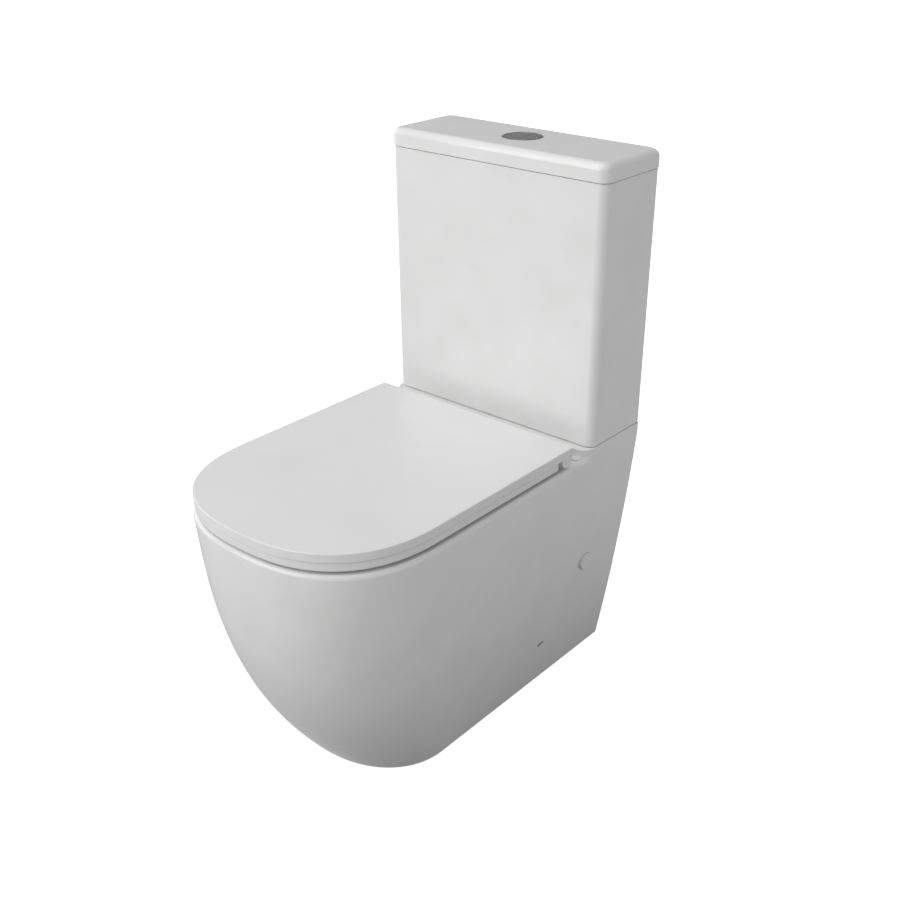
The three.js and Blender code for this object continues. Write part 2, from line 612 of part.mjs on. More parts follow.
function makeFloatLever() {
  const { pivotX, pivotZ } = fill;
  const bar = box([pivotX - 5, FILL_Y - 4.5, pivotZ - 2.5], [pivotX + 59, FILL_Y + 4.5, pivotZ + 2.5]);
  const slot = box([pivotX + 42, FILL_Y - 2.7, pivotZ - 5], [pivotX + 54, FILL_Y + 2.7, pivotZ + 5]);
  return join(cut(bar, slot), barY(2.5, pivotX, FILL_Y - 11, FILL_Y + 11, pivotZ, 12));
}
place('float_lever', makeFloatLever(), whitePlastic);

// ---------------------------------------------------------------- flush buttons

function makeButtonHousing() {
  const { bezel, barrel, opening, housingZ, rodX } = button;
  const cup = turned([
    [0, housingZ], [barrel, housingZ], [barrel, TOP_Z - 2.4], [bezel, TOP_Z - 2.4], [bezel, TOP_Z - 0.2],
    [bezel - 0.6, TOP_Z + 0.4], [opening, TOP_Z + 0.4], [opening, housingZ + 3], [0, housingZ + 3],
  ], 0, BUTTON_Y, 28);
  const rodHoles = [-1, 1].map((side) => postZ(5, side * rodX, BUTTON_Y, housingZ - 1, housingZ + 4, 16));
  return cut(cup, ...rodHoles);
}
place('button_housing', makeButtonHousing(), darkChrome);
place('button_lock_nut', nut(36, 12, 28.5, 0, BUTTON_Y, 818.5, 826.6), greyPlastic);

/** Half of the split disc on one side, with the hollow stem that takes its push rod. */
function makeButton(side) {
  const { disc, split, splitGap, rodX, top, thickness } = button;
  const edge = split + side * splitGap / 2;
  const keep = side < 0 ? box([-40, -100, 800], [edge, -20, 850]) : box([edge, -100, 800], [40, -20, 850]);
  const plate = turned([
    [0, top - thickness], [disc, top - thickness], [disc, top - 0.5], [disc - 0.5, top], [0, top],
  ], 0, BUTTON_Y, 28).intersect(keep);
  const stem = turned([[2.8, 818], [4.2, 818], [4.2, 836], [2.8, 836]], side * rodX, BUTTON_Y, 16);
  return join(plate, stem);
}

/** A compression spring round a button's stem. */
function makeSpring(side) {
  const [turns, radius, wire, low, high] = [3, 5.6, 0.45, 815.6, 834.8];
  const curve = new THREE.Curve();
  curve.getPoint = (t, target = new THREE.Vector3()) => {
    const angle = 2 * Math.PI * turns * t;
    return target.set(radius * Math.cos(angle), radius * Math.sin(angle), low + (high - low) * t);
  };
  const section = new THREE.Shape().absarc(0, 0, wire, 0, 2 * Math.PI);
  const coil = new THREE.ExtrudeGeometry(section, { steps: 32, curveSegments: 3, extrudePath: curve });
  return solid(coil.translate(side * button.rodX, BUTTON_Y, 0));
}

for (const [side, name] of [[-1, 'full'], [1, 'half']]) {
  place(`${name}_flush_button`, makeButton(side), darkChrome);
  place(`${name}_flush_push_rod`, postZ(2.5, side * button.rodX, BUTTON_Y, 769.2, 834, 12), whitePlastic);
  place(`${name}_flush_spring`, makeSpring(side), steel);
}

// ---------------------------------------------------------------- seat and hinges

const seatOutline = (z, inset, rear = seat.rear) => ({
  z,
  points: dOutline({
    half: seat.halfWidth - inset, front: DEPTH - inset, shoulder: seat.shoulder, power: seat.roundness,
    rear: rear + inset * 0.5, rearCorner: 3,
  }),
});

function makeSeatLid() {
  const { lidTop, lidBottom, axisY, axisZ, barrel, rear, halfWidth } = seat;
  const { x, halfPost, lugInner, lugOuter, damper, damperEnd } = hinge;
  const pocketTop = lidBottom + 7.8;
  const plate = loft([
    seatOutline(lidBottom, 0.8), seatOutline(lidBottom + 0.8, 0),
    seatOutline(lidTop - 1.2, 0), seatOutline(lidTop, 1.2),
  ]);
  const knuckle = new THREE.Shape();
  knuckle.moveTo(-rear, lidBottom + 3);
  knuckle.lineTo(axisY - barrel, lidBottom + 3);
  knuckle.lineTo(axisY - barrel, axisZ);
  knuckle.absarc(axisY, axisZ, barrel, Math.PI, 2 * Math.PI);
  const recess = loft([seatOutline(lidBottom - 1, 14, 212), seatOutline(lidBottom + 6, 15, 213)]);
  const pockets = [-1, 1].flatMap((side) => {
    const span = (x0, x1) => [Math.min(side * x0, side * x1), Math.max(side * x0, side * x1)];
    const [lug0, lug1] = span(lugInner - 2, lugOuter + 1);
    const [post0, post1] = span(lugOuter, x + halfPost + 1.6);
    return [
      box([lug0, axisY - 15, RIM_Z - 4], [lug1, axisY + 9.5, pocketTop]),
      box([post0, axisY - 15, RIM_Z - 4], [post1, axisY + 15, pocketTop]),
      barX(damper + 0.4, side * (x + halfPost), side * (damperEnd + 1), axisY, axisZ, 20),
    ];
  });
  const barrels = sideExtrusion(knuckle, 1 - halfWidth, halfWidth - 1);
  return cut(join(plate, barrels), recess, ...pockets);
}
place('seat_lid', makeSeatLid(), seatPlastic);

const ringBuffers = [[-165, -310], [165, -310], [-150, -545], [150, -545]];
const lidBuffers = [[-142, -545], [142, -545]];
const buffer = { ring: 9, ringPocket: 9.4, sunk: 1.7, lid: 5, lidSunk: 5.7 };

function makeSeatRing() {
  const { ringTop, ringBottom, ringInset, ringRear, axisY, axisZ } = seat;
  const { apertureHalf, apertureFront, apertureRear } = seat;
  const body = loft([
    [ringBottom, 3], [ringBottom + 3, 0], [ringTop - 1, 0], [ringTop, 1],
  ].map(([z, inset]) => seatOutline(z, ringInset + inset, ringRear)));
  const hole = (z, grow) => ({
    z, points: eggOutline(apertureHalf + grow, apertureFront + grow, apertureRear - grow, 0.48, 2.3),
  });
  const aperture = loft([
    hole(ringBottom - 1, 3), hole(ringBottom + 3, 0), hole(ringTop - 4, 0), hole(ringTop + 1, 6)]);
  const lugs = [-1, 1].flatMap((side) => {
    const [x0, x1] = [side * hinge.lugInner, side * hinge.lugOuter];
    return [
      barX(hinge.lug, x0, x1, axisY, axisZ, 24),
      box([Math.min(x0, x1), -ringRear - 8, ringBottom + 3], [Math.max(x0, x1), axisY, ringTop]),
    ];
  });
  const bores = [-1, 1].map((side) =>
    barX(hinge.pinBore, side * (hinge.lugInner - 2), side * (hinge.lugOuter + 2), axisY, axisZ, 16));
  return cut(join(cut(body, aperture), ...lugs), ...bores, ...ringBuffers.map(([x, y]) =>
    postZ(buffer.ringPocket, x, y, ringBottom - 1, ringBottom + 2, 14)));
}
place('seat_ring', makeSeatRing(), seatPlastic);

ringBuffers.forEach(([x, y], i) => place(`ring_buffer_${i + 1}`, turned([
  [0, RIM_Z + FIT], [buffer.ring - 1, RIM_Z + FIT], [buffer.ring, RIM_Z + 1.2],
  [buffer.ring, seat.ringBottom + buffer.sunk], [0, seat.ringBottom + buffer.sunk],
], x, y, 14), clearBuffer));
lidBuffers.forEach(([x, y], i) => place(`lid_buffer_${i + 1}`, turned([
  [0, seat.ringTop + 0.4], [buffer.lid - 0.5, seat.ringTop + 0.4], [buffer.lid, seat.ringTop + 1],
  [buffer.lid, seat.lidBottom + buffer.lidSunk], [0, seat.lidBottom + buffer.lidSunk],
], x, y, 12), clearBuffer));

for (const [side, name] of [[-1, 'left'], [1, 'right']]) {
  const { axisY, axisZ } = seat;
  const x = side * hinge.x;
  const post = cut(
    join(
      box([x - hinge.baseHalf, axisY - hinge.baseDepth, RIM_Z + FIT],
        [x + hinge.baseHalf, axisY + hinge.baseDepth, hinge.baseTop]),
      box([x - hinge.halfPost, axisY - 7, hinge.baseTop - 1], [x + hinge.halfPost, axisY + 7, axisZ]),
      barX(hinge.post, x - hinge.halfPost, x + hinge.halfPost, axisY, axisZ, 24)),
    barX(hinge.pin + FIT, x - 20, x + 20, axisY, axisZ, 16),
    postZ(4.3, x, axisY, RIM_Z - 1, RIM_Z + 8, 16));
  place(`hinge_post_${name}`, post, steel);
  place(`hinge_pin_${name}`, barX(hinge.pin, side * 53, side * 99, axisY, axisZ, 16), steel);
  const damper = cut(
    barX(hinge.damper, side * hinge.damperStart, side * hinge.damperEnd, axisY, axisZ, 20),
    barX(hinge.pinBore, side * (hinge.damperStart - 1), side * 101, axisY, axisZ, 16));
  place(`hinge_damper_${name}`, damper, greyPlastic);

  place(`seat_fixing_bolt_${name}`, postZ(3.9, x, axisY, 356, RIM_Z + 7.5, 16), steel);
  place(`seat_fixing_nut_${name}`, turned([
    [4.3, underDeck - 14], [9, underDeck - 14], [12, underDeck - 3], [12, underDeck], [6.6, underDeck],
    [6.6, RIM_Z - FIT], [4.3, RIM_Z - FIT],
  ], x, axisY, 16), rubber);
}

suite.position.y = DEPTH / 2;

export default suite;
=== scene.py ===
# Looks of the close coupled toilet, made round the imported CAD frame.
import json
import math

import bmesh
import bpy
from mathutils import Matrix, Vector


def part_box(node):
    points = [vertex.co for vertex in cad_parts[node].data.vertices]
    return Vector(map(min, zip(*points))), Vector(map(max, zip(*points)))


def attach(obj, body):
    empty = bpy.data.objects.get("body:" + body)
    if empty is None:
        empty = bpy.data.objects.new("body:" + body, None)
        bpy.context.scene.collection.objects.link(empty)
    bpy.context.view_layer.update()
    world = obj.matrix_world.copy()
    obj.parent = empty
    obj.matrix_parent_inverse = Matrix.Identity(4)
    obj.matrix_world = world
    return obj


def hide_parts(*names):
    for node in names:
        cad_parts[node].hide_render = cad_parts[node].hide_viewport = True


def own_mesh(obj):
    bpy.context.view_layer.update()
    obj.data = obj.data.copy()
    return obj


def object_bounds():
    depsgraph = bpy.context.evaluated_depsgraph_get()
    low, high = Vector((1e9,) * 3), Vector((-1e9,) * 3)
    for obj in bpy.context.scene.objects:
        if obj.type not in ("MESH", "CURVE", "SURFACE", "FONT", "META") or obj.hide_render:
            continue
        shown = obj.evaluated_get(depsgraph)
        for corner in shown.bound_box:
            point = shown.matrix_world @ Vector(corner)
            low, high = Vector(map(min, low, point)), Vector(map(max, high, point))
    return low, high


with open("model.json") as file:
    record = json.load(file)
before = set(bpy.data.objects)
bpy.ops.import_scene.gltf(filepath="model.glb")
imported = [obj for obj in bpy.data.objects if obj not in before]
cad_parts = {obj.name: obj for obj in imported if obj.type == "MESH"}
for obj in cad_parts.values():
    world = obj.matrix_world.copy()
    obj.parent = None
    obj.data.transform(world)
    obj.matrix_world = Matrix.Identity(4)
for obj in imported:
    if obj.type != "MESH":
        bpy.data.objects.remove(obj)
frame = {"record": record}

# ------------------------------------------------------------------ frame and sizes

CAD_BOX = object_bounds()
MM = 0.001
WALL = CAD_BOX[1].y                     # pieces are drawn in mm from the wall, the floor and the middle
X, Y, Z = 0, 1, 2
BODY_OF = {n: body for body, names in frame["record"]["behaviour"]["bodies"].items() for n in names}


def corner(node, end, axis):
    """A coordinate of a CAD node's box in mm; end 0 is the low side and 1 the high side."""
    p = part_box(node)[end]
    return (p.x, p.y - WALL, p.z)[axis] / MM


def middle(node, axis):
    return (corner(node, 0, axis) + corner(node, 1, axis)) / 2


LEDGE_Z = corner("pan", 1, Z)           # top of the ledge that carries the cistern
RIM_Z = LEDGE_Z - 13.2                  # rim and deck
TANK_Z = corner("cistern", 0, Z)
TANK_TOP = corner("cistern", 1, Z)
TANK_FLOOR = TANK_Z + 14
COVER_Z = TANK_TOP + 1                  # underside of the cistern lid's edge
COVER_TOP = corner("cistern_lid", 1, Z)
SEAT_FRONT = -corner("seat_lid", 0, Y)
LID_TOP = corner("seat_lid", 1, Z)
LID_BOTTOM = LID_TOP - 13
RING_TOP = LID_BOTTOM - 1
RING_BOTTOM = RING_TOP - 13
AXIS_Y = middle("hinge_pin_left", Y)    # the hinge axis
AXIS_Z = middle("hinge_pin_left", Z)
AXIS = (AXIS_Y, AXIS_Z)
HINGE_X = middle("hinge_post_right", X)
BUTTON_Y = middle("button_housing", Y)
FLUSH_Y = middle("flush_valve_base", Y)
FILL_X = middle("fill_valve_body", X)
FILL_Y = middle("fill_valve_body", Y)
BOLT_X = middle("cistern_bolt_right", X)
DECK_UNDER = RIM_Z - 12
GAP = 0.3                               # between pieces that touch
SPIGOT_Z = middle("outlet_seal", Z)
SIDES = {"left": -1, "right": 1}
HALVES = {"full": -1, "half": 1}

# ------------------------------------------------------------------ materials


class Paint:
    """A procedural material under construction: its shader, and noise in the object's own metres."""

    def __init__(self, name, **values):
        self.material = bpy.data.materials.new(name)
        self.material.use_nodes = True
        self.tree = self.material.node_tree
        self.shader = self.tree.nodes["Principled BSDF"]
        for socket, value in values.items():
            self.shader.inputs[socket.replace("_", " ")].default_value = value
        self.place = self.node("ShaderNodeTexCoord").outputs["Object"]
        self.bumped = None

    def node(self, kind, **inputs):
        made = self.tree.nodes.new(kind)
        for socket, value in inputs.items():
            made.inputs[socket.replace("_", " ")].default_value = value
        return made

    def link(self, output, to):
        self.tree.links.new(output, to)

    def noise(self, scale, detail=3.0, stretch=(1, 1, 1)):
        mapping = self.node("ShaderNodeMapping", Scale=stretch)
        texture = self.node("ShaderNodeTexNoise", Scale=scale, Detail=detail)
        self.link(self.place, mapping.inputs["Vector"])
        self.link(mapping.outputs["Vector"], texture.inputs["Vector"])
        return texture.outputs["Fac"]

    def speckle(self, scale):
        texture = self.node("ShaderNodeTexVoronoi", Scale=scale)
        self.link(self.place, texture.inputs["Vector"])
        return texture.outputs["Distance"]

    def turned_lines(self, centre, scale):
        """Fine rings round an upright axis."""
        mapping = self.node("ShaderNodeMapping", Location=(-centre[0], -centre[1], 0))
        texture = self.node("ShaderNodeTexWave", Scale=scale, Distortion=1.5, Detail=3.0)
        texture.wave_type, texture.rings_direction = "RINGS", "Z"
        self.link(self.place, mapping.inputs["Vector"])
        self.link(mapping.outputs["Vector"], texture.inputs["Vector"])
        return texture.outputs["Fac"]

    def colour(self, factor, dark, light):
        low, high = 0.35, 0.65
        ramp = self.node("ShaderNodeValToRGB")
        ends = ramp.color_ramp.elements
        ends[0].position, ends[0].color = low, (*dark, 1)
        ends[1].position, ends[1].color = high, (*light, 1)
        self.link(factor, ramp.inputs["Fac"])
        self.link(ramp.outputs["Color"], self.shader.inputs["Base Color"])
        return self

    def roughness(self, factor, smooth, rough):
        spread = self.node("ShaderNodeMapRange")
        for socket, value in {"From Min": 0.3, "From Max": 0.7, "To Min": smooth, "To Max": rough}.items():
            spread.inputs[socket].default_value = value
        self.link(factor, spread.inputs["Value"])
        self.link(spread.outputs["Result"], self.shader.inputs["Roughness"])
        return self

    def bump(self, factor, distance, strength=1.0):
        """Relief of a height in metres; further calls lie on top of the first."""
        relief = self.node("ShaderNodeBump", Strength=strength, Distance=distance)
        self.link(factor, relief.inputs["Height"])
        if self.bumped:
            self.link(self.bumped, relief.inputs["Normal"])
        self.bumped = relief.outputs["Normal"]
        self.link(self.bumped, self.shader.inputs["Normal"])
        return self


def ceramic():
    p = Paint("ceramic", IOR=1.5, Coat_Weight=0.25, Coat_Roughness=0.03, Coat_IOR=1.5)
    p.colour(p.noise(14, 4), (0.80, 0.80, 0.795), (0.83, 0.83, 0.827))
    p.roughness(p.noise(30, 3), 0.07, 0.13)
    p.bump(p.noise(7, 1), 0.0012, 0.08)             # the slow waves of a slip-cast wall
    return p.bump(p.noise(420, 2), 0.00004, 0.35).material


def seat_plastic():
    p = Paint("seat_plastic", IOR=1.46, Coat_Weight=0.08, Coat_Roughness=0.2)
    p.colour(p.noise(9, 2), (0.80, 0.80, 0.80), (0.82, 0.82, 0.82))
    p.roughness(p.noise(60, 3), 0.28, 0.34)
    return p.bump(p.noise(650, 2), 0.00003, 0.5).material


def dark_chrome():
    p = Paint("dark_chrome", Metallic=1.0)
    lines = p.turned_lines((0, WALL + BUTTON_Y * MM), 900)
    p.colour(p.noise(80, 4), (0.30, 0.30, 0.31), (0.36, 0.36, 0.37))
    p.roughness(lines, 0.22, 0.34)
    return p.bump(lines, 0.00001, 0.4).material


def brushed(name, dark, light, stretch):
    p = Paint(name, Metallic=1.0)
    streaks = p.noise(60, 6, stretch)
    p.colour(streaks, dark, light)
    p.roughness(p.noise(140, 5, stretch), 0.22, 0.42)
    return p.bump(streaks, 0.00003, 0.4).material


def moulded(name, dark, light, smooth, rough):
    p = Paint(name, IOR=1.5)
    p.colour(p.noise(25, 4), dark, light)
    p.roughness(p.noise(70, 4), smooth, rough)
    return p.bump(p.noise(900, 3), 0.00004, 0.6).material


def rubber():
    p = Paint("rubber", IOR=1.5, Sheen_Weight=0.15, Sheen_Roughness=0.5)
    p.colour(p.noise(160, 6), (0.018, 0.018, 0.020), (0.040, 0.040, 0.043))
    p.roughness(p.noise(90, 5), 0.62, 0.85)
    return p.bump(p.speckle(1200), 0.00006, 0.5).material


def buffer():
    p = Paint("buffer", IOR=1.42, Transmission_Weight=0.35)
    p.colour(p.noise(120, 3), (0.66, 0.68, 0.69), (0.76, 0.78, 0.79))
    p.roughness(p.noise(200, 3), 0.30, 0.45)
    return p.bump(p.noise(900, 2), 0.00003, 0.5).material


MATERIALS = {
    "ceramic": ceramic(),
    "seat_plastic": seat_plastic(),
    "dark_chrome": dark_chrome(),
    "steel": brushed("steel", (0.48, 0.49, 0.50), (0.64, 0.65, 0.66), (1, 1, 14)),
    "brass": brushed("brass", (0.46, 0.31, 0.10), (0.62, 0.44, 0.18), (1, 1, 10)),
    "white_plastic": moulded("white_plastic", (0.68, 0.69, 0.68), (0.76, 0.77, 0.76), 0.34, 0.50),
    "blue_plastic": moulded("blue_plastic", (0.055, 0.16, 0.34), (0.085, 0.21, 0.42), 0.32, 0.48),
    "grey_plastic": moulded("grey_plastic", (0.27, 0.29, 0.31), (0.35, 0.37, 0.39), 0.36, 0.54),
    "rubber": rubber(),
    "buffer": buffer(),
}

# ------------------------------------------------------------------ meshes


def new_object(verts, faces):
    """A mesh object from points in mm, its faces turned outwards."""
    mesh = bpy.data.meshes.new("piece")
    mesh.from_pydata([(x * MM, WALL + y * MM, z * MM) for x, y, z in verts], [], faces)
    bm = bmesh.new()
    bm.from_mesh(mesh)
    bmesh.ops.remove_doubles(bm, verts=bm.verts, dist=1e-7)
    bmesh.ops.recalc_face_normals(bm, faces=bm.faces)
    bm.to_mesh(mesh)
    bm.free()
    obj = bpy.data.objects.new("piece", mesh)
    bpy.context.scene.collection.objects.link(obj)
    return obj


def loft(rings):
    """A closed body through rings of points, each ring with the same number of (x, y, z)."""
    count = len(rings[0])
    verts = [p for ring in rings for p in ring]
    faces = [tuple(reversed(range(count)))]
    for j in range(len(rings) - 1):
        for k in range(count):
            a, b = j * count + k, j * count + (k + 1) % count
            faces.append((a, b, b + count, a + count))
    last = (len(rings) - 1) * count
    faces.append(tuple(range(last, last + count)))
    return new_object(verts, faces)


def turned(profile, centre=(0, 0), axis=Z, segments=64):
    """A turned body from a closed outline of (radius, distance along the axis)."""
    def spot(r, h, a):
        u, v = centre[0] + r * math.cos(a), centre[1] + r * math.sin(a)
        return ((h, u, v), (u, h, v), (u, v, h))[axis]

    verts, rows = [], []
    for r, h in profile:
        if r < 1e-6:
            rows.append([len(verts)] * segments)
            verts.append(spot(0, h, 0))
        else:
            rows.append(list(range(len(verts), len(verts) + segments)))
            verts += [spot(r, h, 2 * math.pi * k / segments) for k in range(segments)]
    faces = []
    for j, row in enumerate(rows):
        following = rows[(j + 1) % len(rows)]
        for k in range(segments):
            n = (k + 1) % segments
            face = list(dict.fromkeys((row[k], row[n], following[n], following[k])))
            if len(face) > 2:
                faces.append(face)
    return new_object(verts, faces)


def band(inner, outer, low, high):
    """The outline of a plain ring, or of a disc where inner is 0."""
    return [(inner, low), (outer, low), (outer, high), (inner, high)]


def softened(profile, radius=0.5, steps=2):
    """A closed outline with its corners rounded, apart from those on the axis."""
    out = []
    for i, here in enumerate(profile):
        before, after = Vector(profile[i - 1]), Vector(profile[(i + 1) % len(profile)])
        point = Vector(here)
        back, on = before - point, after - point
        if here[0] < 1e-6 or back.length < 1e-6 or on.length < 1e-6 or back.angle(on) > math.radians(165):
            out.append(tuple(here))
            continue
        reach = min(radius, 0.45 * back.length, 0.45 * on.length)
        start, end = point + back.normalized() * reach, point + on.normalized() * reach
        for step in range(steps + 1):
            t = step / steps
            out.append(tuple(start * (1 - t) ** 2 + point * 2 * t * (1 - t) + end * t * t))
    return out


def threads(radius, depth, start, end, pitch):
    """The zigzag of a screw thread along an outline."""
    count = max(2, round(abs(end - start) / pitch))
    step = (end - start) / count
    out = []
    for i in range(count):
        out += [(radius - depth, start + i * step), (radius, start + (i + 0.5) * step)]
    return out + [(radius - depth, end)]


def rod(radius, start, end, centre, axis=Z, segments=48, edge=0.0):
    """A round bar along an axis, with rounded ends if edge is given."""
    profile = band(0, radius, start, end)
    return turned(softened(profile, edge, 3) if edge else profile, centre, axis, segments)


def swept(path, radius, sides=32, frame_side=Vector((1, 0, 0))):
    """A round bar along a path of points."""
    path = [Vector(p) for p in path]
    rings, side = [], frame_side
    for i, point in enumerate(path):
        along = (path[min(i + 1, len(path) - 1)] - path[max(i - 1, 0)]).normalized()
        side = (side - along * side.dot(along)).normalized()
        other = along.cross(side)
        turns = [2 * math.pi * k / sides for k in range(sides)]
        rings.append([
            tuple(point + side * radius * math.cos(a) + other * radius * math.sin(a)) for a in turns])
    return loft(rings)


def block(low, high, edge=0.0, steps=4):
    """A box between two corners, with all its edges rounded if edge is given."""
    (x0, y0, z0), (x1, y1, z1) = low, high
    if not edge:
        outline = [(x0, y0), (x1, y0), (x1, y1), (x0, y1)]
        return loft([at_height(outline, z) for z in (z0, z1)])
    rings = []
    for z, inset in edge_rows(z0, z1, edge, edge, steps):
        corners = [(x1, y1, 0), (x0, y1, 90), (x0, y0, 180), (x1, y0, 270)]
        ring = []
        for x, y, turn in corners:
            cx, cy = x - math.copysign(edge, x - (x0 + x1) / 2), y - math.copysign(edge, y - (y0 + y1) / 2)
            ring += arc(cx, cy, edge - inset * 0.98, turn, turn + 90, steps)
        rings.append(at_height(ring, z))
    return loft(rings)


def side_slab(outline, x0, x1, edge=0.4, steps=2):
    """A shape drawn in side view (y, z), with rounded rims, standing from x0 to x1."""
    middle_y = sum(p[0] for p in outline) / len(outline)
    middle_z = sum(p[1] for p in outline) / len(outline)
    reach = max(math.hypot(y - middle_y, z - middle_z) for y, z in outline)
    rings = []
    for x, inset in edge_rows(x0, x1, edge, edge, steps):
        scale = 1 - inset / reach
        rings.append([
            (x, middle_y + (y - middle_y) * scale, middle_z + (z - middle_z) * scale) for y, z in outline])
    return loft(rings)


def spun(obj, centre, degrees):
    """Turns a piece about an upright axis."""
    middle_point = Vector((centre[0] * MM, WALL + centre[1] * MM, 0))
    obj.data.transform(Matrix.Translation(middle_point) @ Matrix.Rotation(math.radians(degrees), 4, "Z")
                       @ Matrix.Translation(-middle_point))
    return obj


def ring_of_blocks(low, high, edge, steps, centre, count, first=0):
    """Copies of a block, set evenly about an upright axis."""
    return [spun(block(low, high, edge, steps), centre, first + 360 / count * k) for k in range(count)]


def combine(base, tools, operation):
    """Joins the tools to base or cuts them from it; they are used up."""
    for tool in tools:
        modifier = base.modifiers.new("combine", "BOOLEAN")
        modifier.operation, modifier.solver, modifier.object = operation, "EXACT", tool
        bpy.context.view_layer.update()
        mesh = bpy.data.meshes.new_from_object(base.evaluated_get(bpy.context.evaluated_depsgraph_get()))
        if not mesh.vertices:
            raise RuntimeError(f"a {operation.lower()} left nothing")
        base.modifiers.clear()
        base.data = mesh
        bpy.data.objects.remove(tool)
    return base


def join(base, *tools):
    return combine(base, tools, "UNION")


def cut(base, *tools):
    return combine(base, tools, "DIFFERENCE")


def keep(base, *tools):
    return combine(base, tools, "INTERSECT")


def finish(obj, node, slot, bevel=0.0, sharp=35):
    """Turns a mesh into the visible piece of a CAD node: smooth, with even normals, on its body."""
    bm = bmesh.new()
    bm.from_mesh(obj.data)
    bmesh.ops.remove_doubles(bm, verts=bm.verts, dist=2e-6)
    bm.to_mesh(obj.data)
    bm.free()
    obj.name = obj.data.name = f"{node}_piece"
    if bevel:
        rounding = obj.modifiers.new("rounded_edges", "BEVEL")
        rounding.width, rounding.segments, rounding.angle_limit = bevel * MM, 2, math.radians(40)
        rounding.limit_method = "ANGLE"
    obj.data.shade_smooth()
    obj.data.set_sharp_from_angle(angle=math.radians(sharp))
    normals = obj.modifiers.new("even_normals", "WEIGHTED_NORMAL")
    normals.keep_sharp, normals.weight = True, 60
    obj.data.materials.clear()
    obj.data.materials.append(MATERIALS[slot])
    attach(obj, BODY_OF[node])
    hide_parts(node)
    return obj


# ------------------------------------------------------------------ outlines, anticlockwise from above


def arc(cx, cy, radius, start, end, steps):
    """Points on an arc, in degrees, both ends included."""
    turns = [math.radians(start + (end - start) * i / steps) for i in range(steps + 1)]
    return [(cx + radius * math.cos(a), cy + radius * math.sin(a)) for a in turns]


def superellipse(a, b, power, angle):
    c, s = math.cos(angle), math.sin(angle)
    return a * math.copysign(abs(c) ** (2 / power), c), b * math.copysign(abs(s) ** (2 / power), s)


def d_outline(half, front, shoulder, power, rear=0.0, rear_corner=0.0, marks=()):
    """A D with straight rear and sides and a rounded front; marks are extra distances along the sides."""
    steps = 112
    points = []
    for i in range(steps + 1):
        x, y = superellipse(half, front - shoulder, power, math.pi * (1 + i / steps))
        points.append((x, y - shoulder))
    reach = shoulder - (marks[0] if marks else rear + rear_corner)
    sides = [shoulder - reach * i / 10 for i in range(1, 10)] + list(marks)
    points += [(half, -y) for y in sides]
    if rear_corner:
        points += arc(half - rear_corner, -rear - rear_corner, rear_corner, 0, 90, 6)
        points += arc(-half + rear_corner, -rear - rear_corner, rear_corner, 90, 180, 6)
    else:
        points += [(half, -rear), (-half, -rear)]
    return points + [(-half, -y) for y in reversed(sides)]


def box_outline(half, front, rear, front_corner, rear_corner, steps=14):
    """A rectangle against the wall with rounded corners."""
    return (
        arc(half - rear_corner, -rear - rear_corner, rear_corner, 0, 90, steps)
        + arc(-half + rear_corner, -rear - rear_corner, rear_corner, 90, 180, steps)
        + arc(-half + front_corner, -front + front_corner, front_corner, 180, 270, steps)
        + arc(half - front_corner, -front + front_corner, front_corner, 270, 360, steps)
    )


def egg_outline(half, front, rear, share=0.47):
    """An egg, widest at a share of its length from the rear."""
    power, steps = 2.3, 120
    widest = rear + (front - rear) * share
    points = []
    for i in range(steps):
        angle = 2 * math.pi * i / steps
        x, y = superellipse(half, front - widest if math.sin(angle) < 0 else widest - rear, power, angle)
        points.append((x, y - widest))
    return points


def at_height(outline, z):
    return [(x, y, z) for x, y in outline]


def edge_rows(low, high, low_radius, high_radius, steps=5):
    """Heights and insets up a side whose lower and upper edges are rounded."""
    rows = []
    for i in range(steps + 1):
        a = math.radians(90 * i / steps)
        rows.append((low + low_radius * (1 - math.cos(a)), low_radius * (1 - math.sin(a))))
    for i in range(steps + 1):
        a = math.radians(90 * i / steps)
        rows.append((high - high_radius * (1 - math.sin(a)), high_radius * (1 - math.cos(a))))
    return rows


def eased(rows, between):
    """A smooth curve through rows of numbers, with extra rows between each two."""
    out = []
    for i in range(len(rows) - 1):
        near = (rows[max(i - 1, 0)], rows[i], rows[i + 1], rows[min(i + 2, len(rows) - 1)])
        for t in [step / between for step in range(between)]:
            out.append([
                b + 0.5 * t * (c - a + t * (2 * a - 5 * b + 4 * c - d + t * (3 * (b - c) + d - a)))
                for a, b, c, d in zip(*near)
            ])
    return out + [list(rows[-1])]


def side_rows(low, high, low_radius, high_radius, steps, between):
    """edge_rows with more rows up the straight part."""
    rows = edge_rows(low, high, low_radius, high_radius, steps)
    start, end = low + low_radius, high - high_radius
    middle_rows = [(start + (end - start) * i / between, 0.0) for i in range(1, between)]
    return rows[:steps + 1] + middle_rows + rows[steps + 1:]


def lip_rows(top, radius, steps=5):
    """Heights and outward growth of a cutter that leaves a rounded edge at the top of its hole."""
    rows = []
    for i in range(steps + 1):
        a = math.radians(90 * i / steps)
        rows.append((top - radius + radius * math.sin(a), radius * (1 - math.cos(a))))
    return rows + [(top + 1, radius)]


# ------------------------------------------------------------------ pan

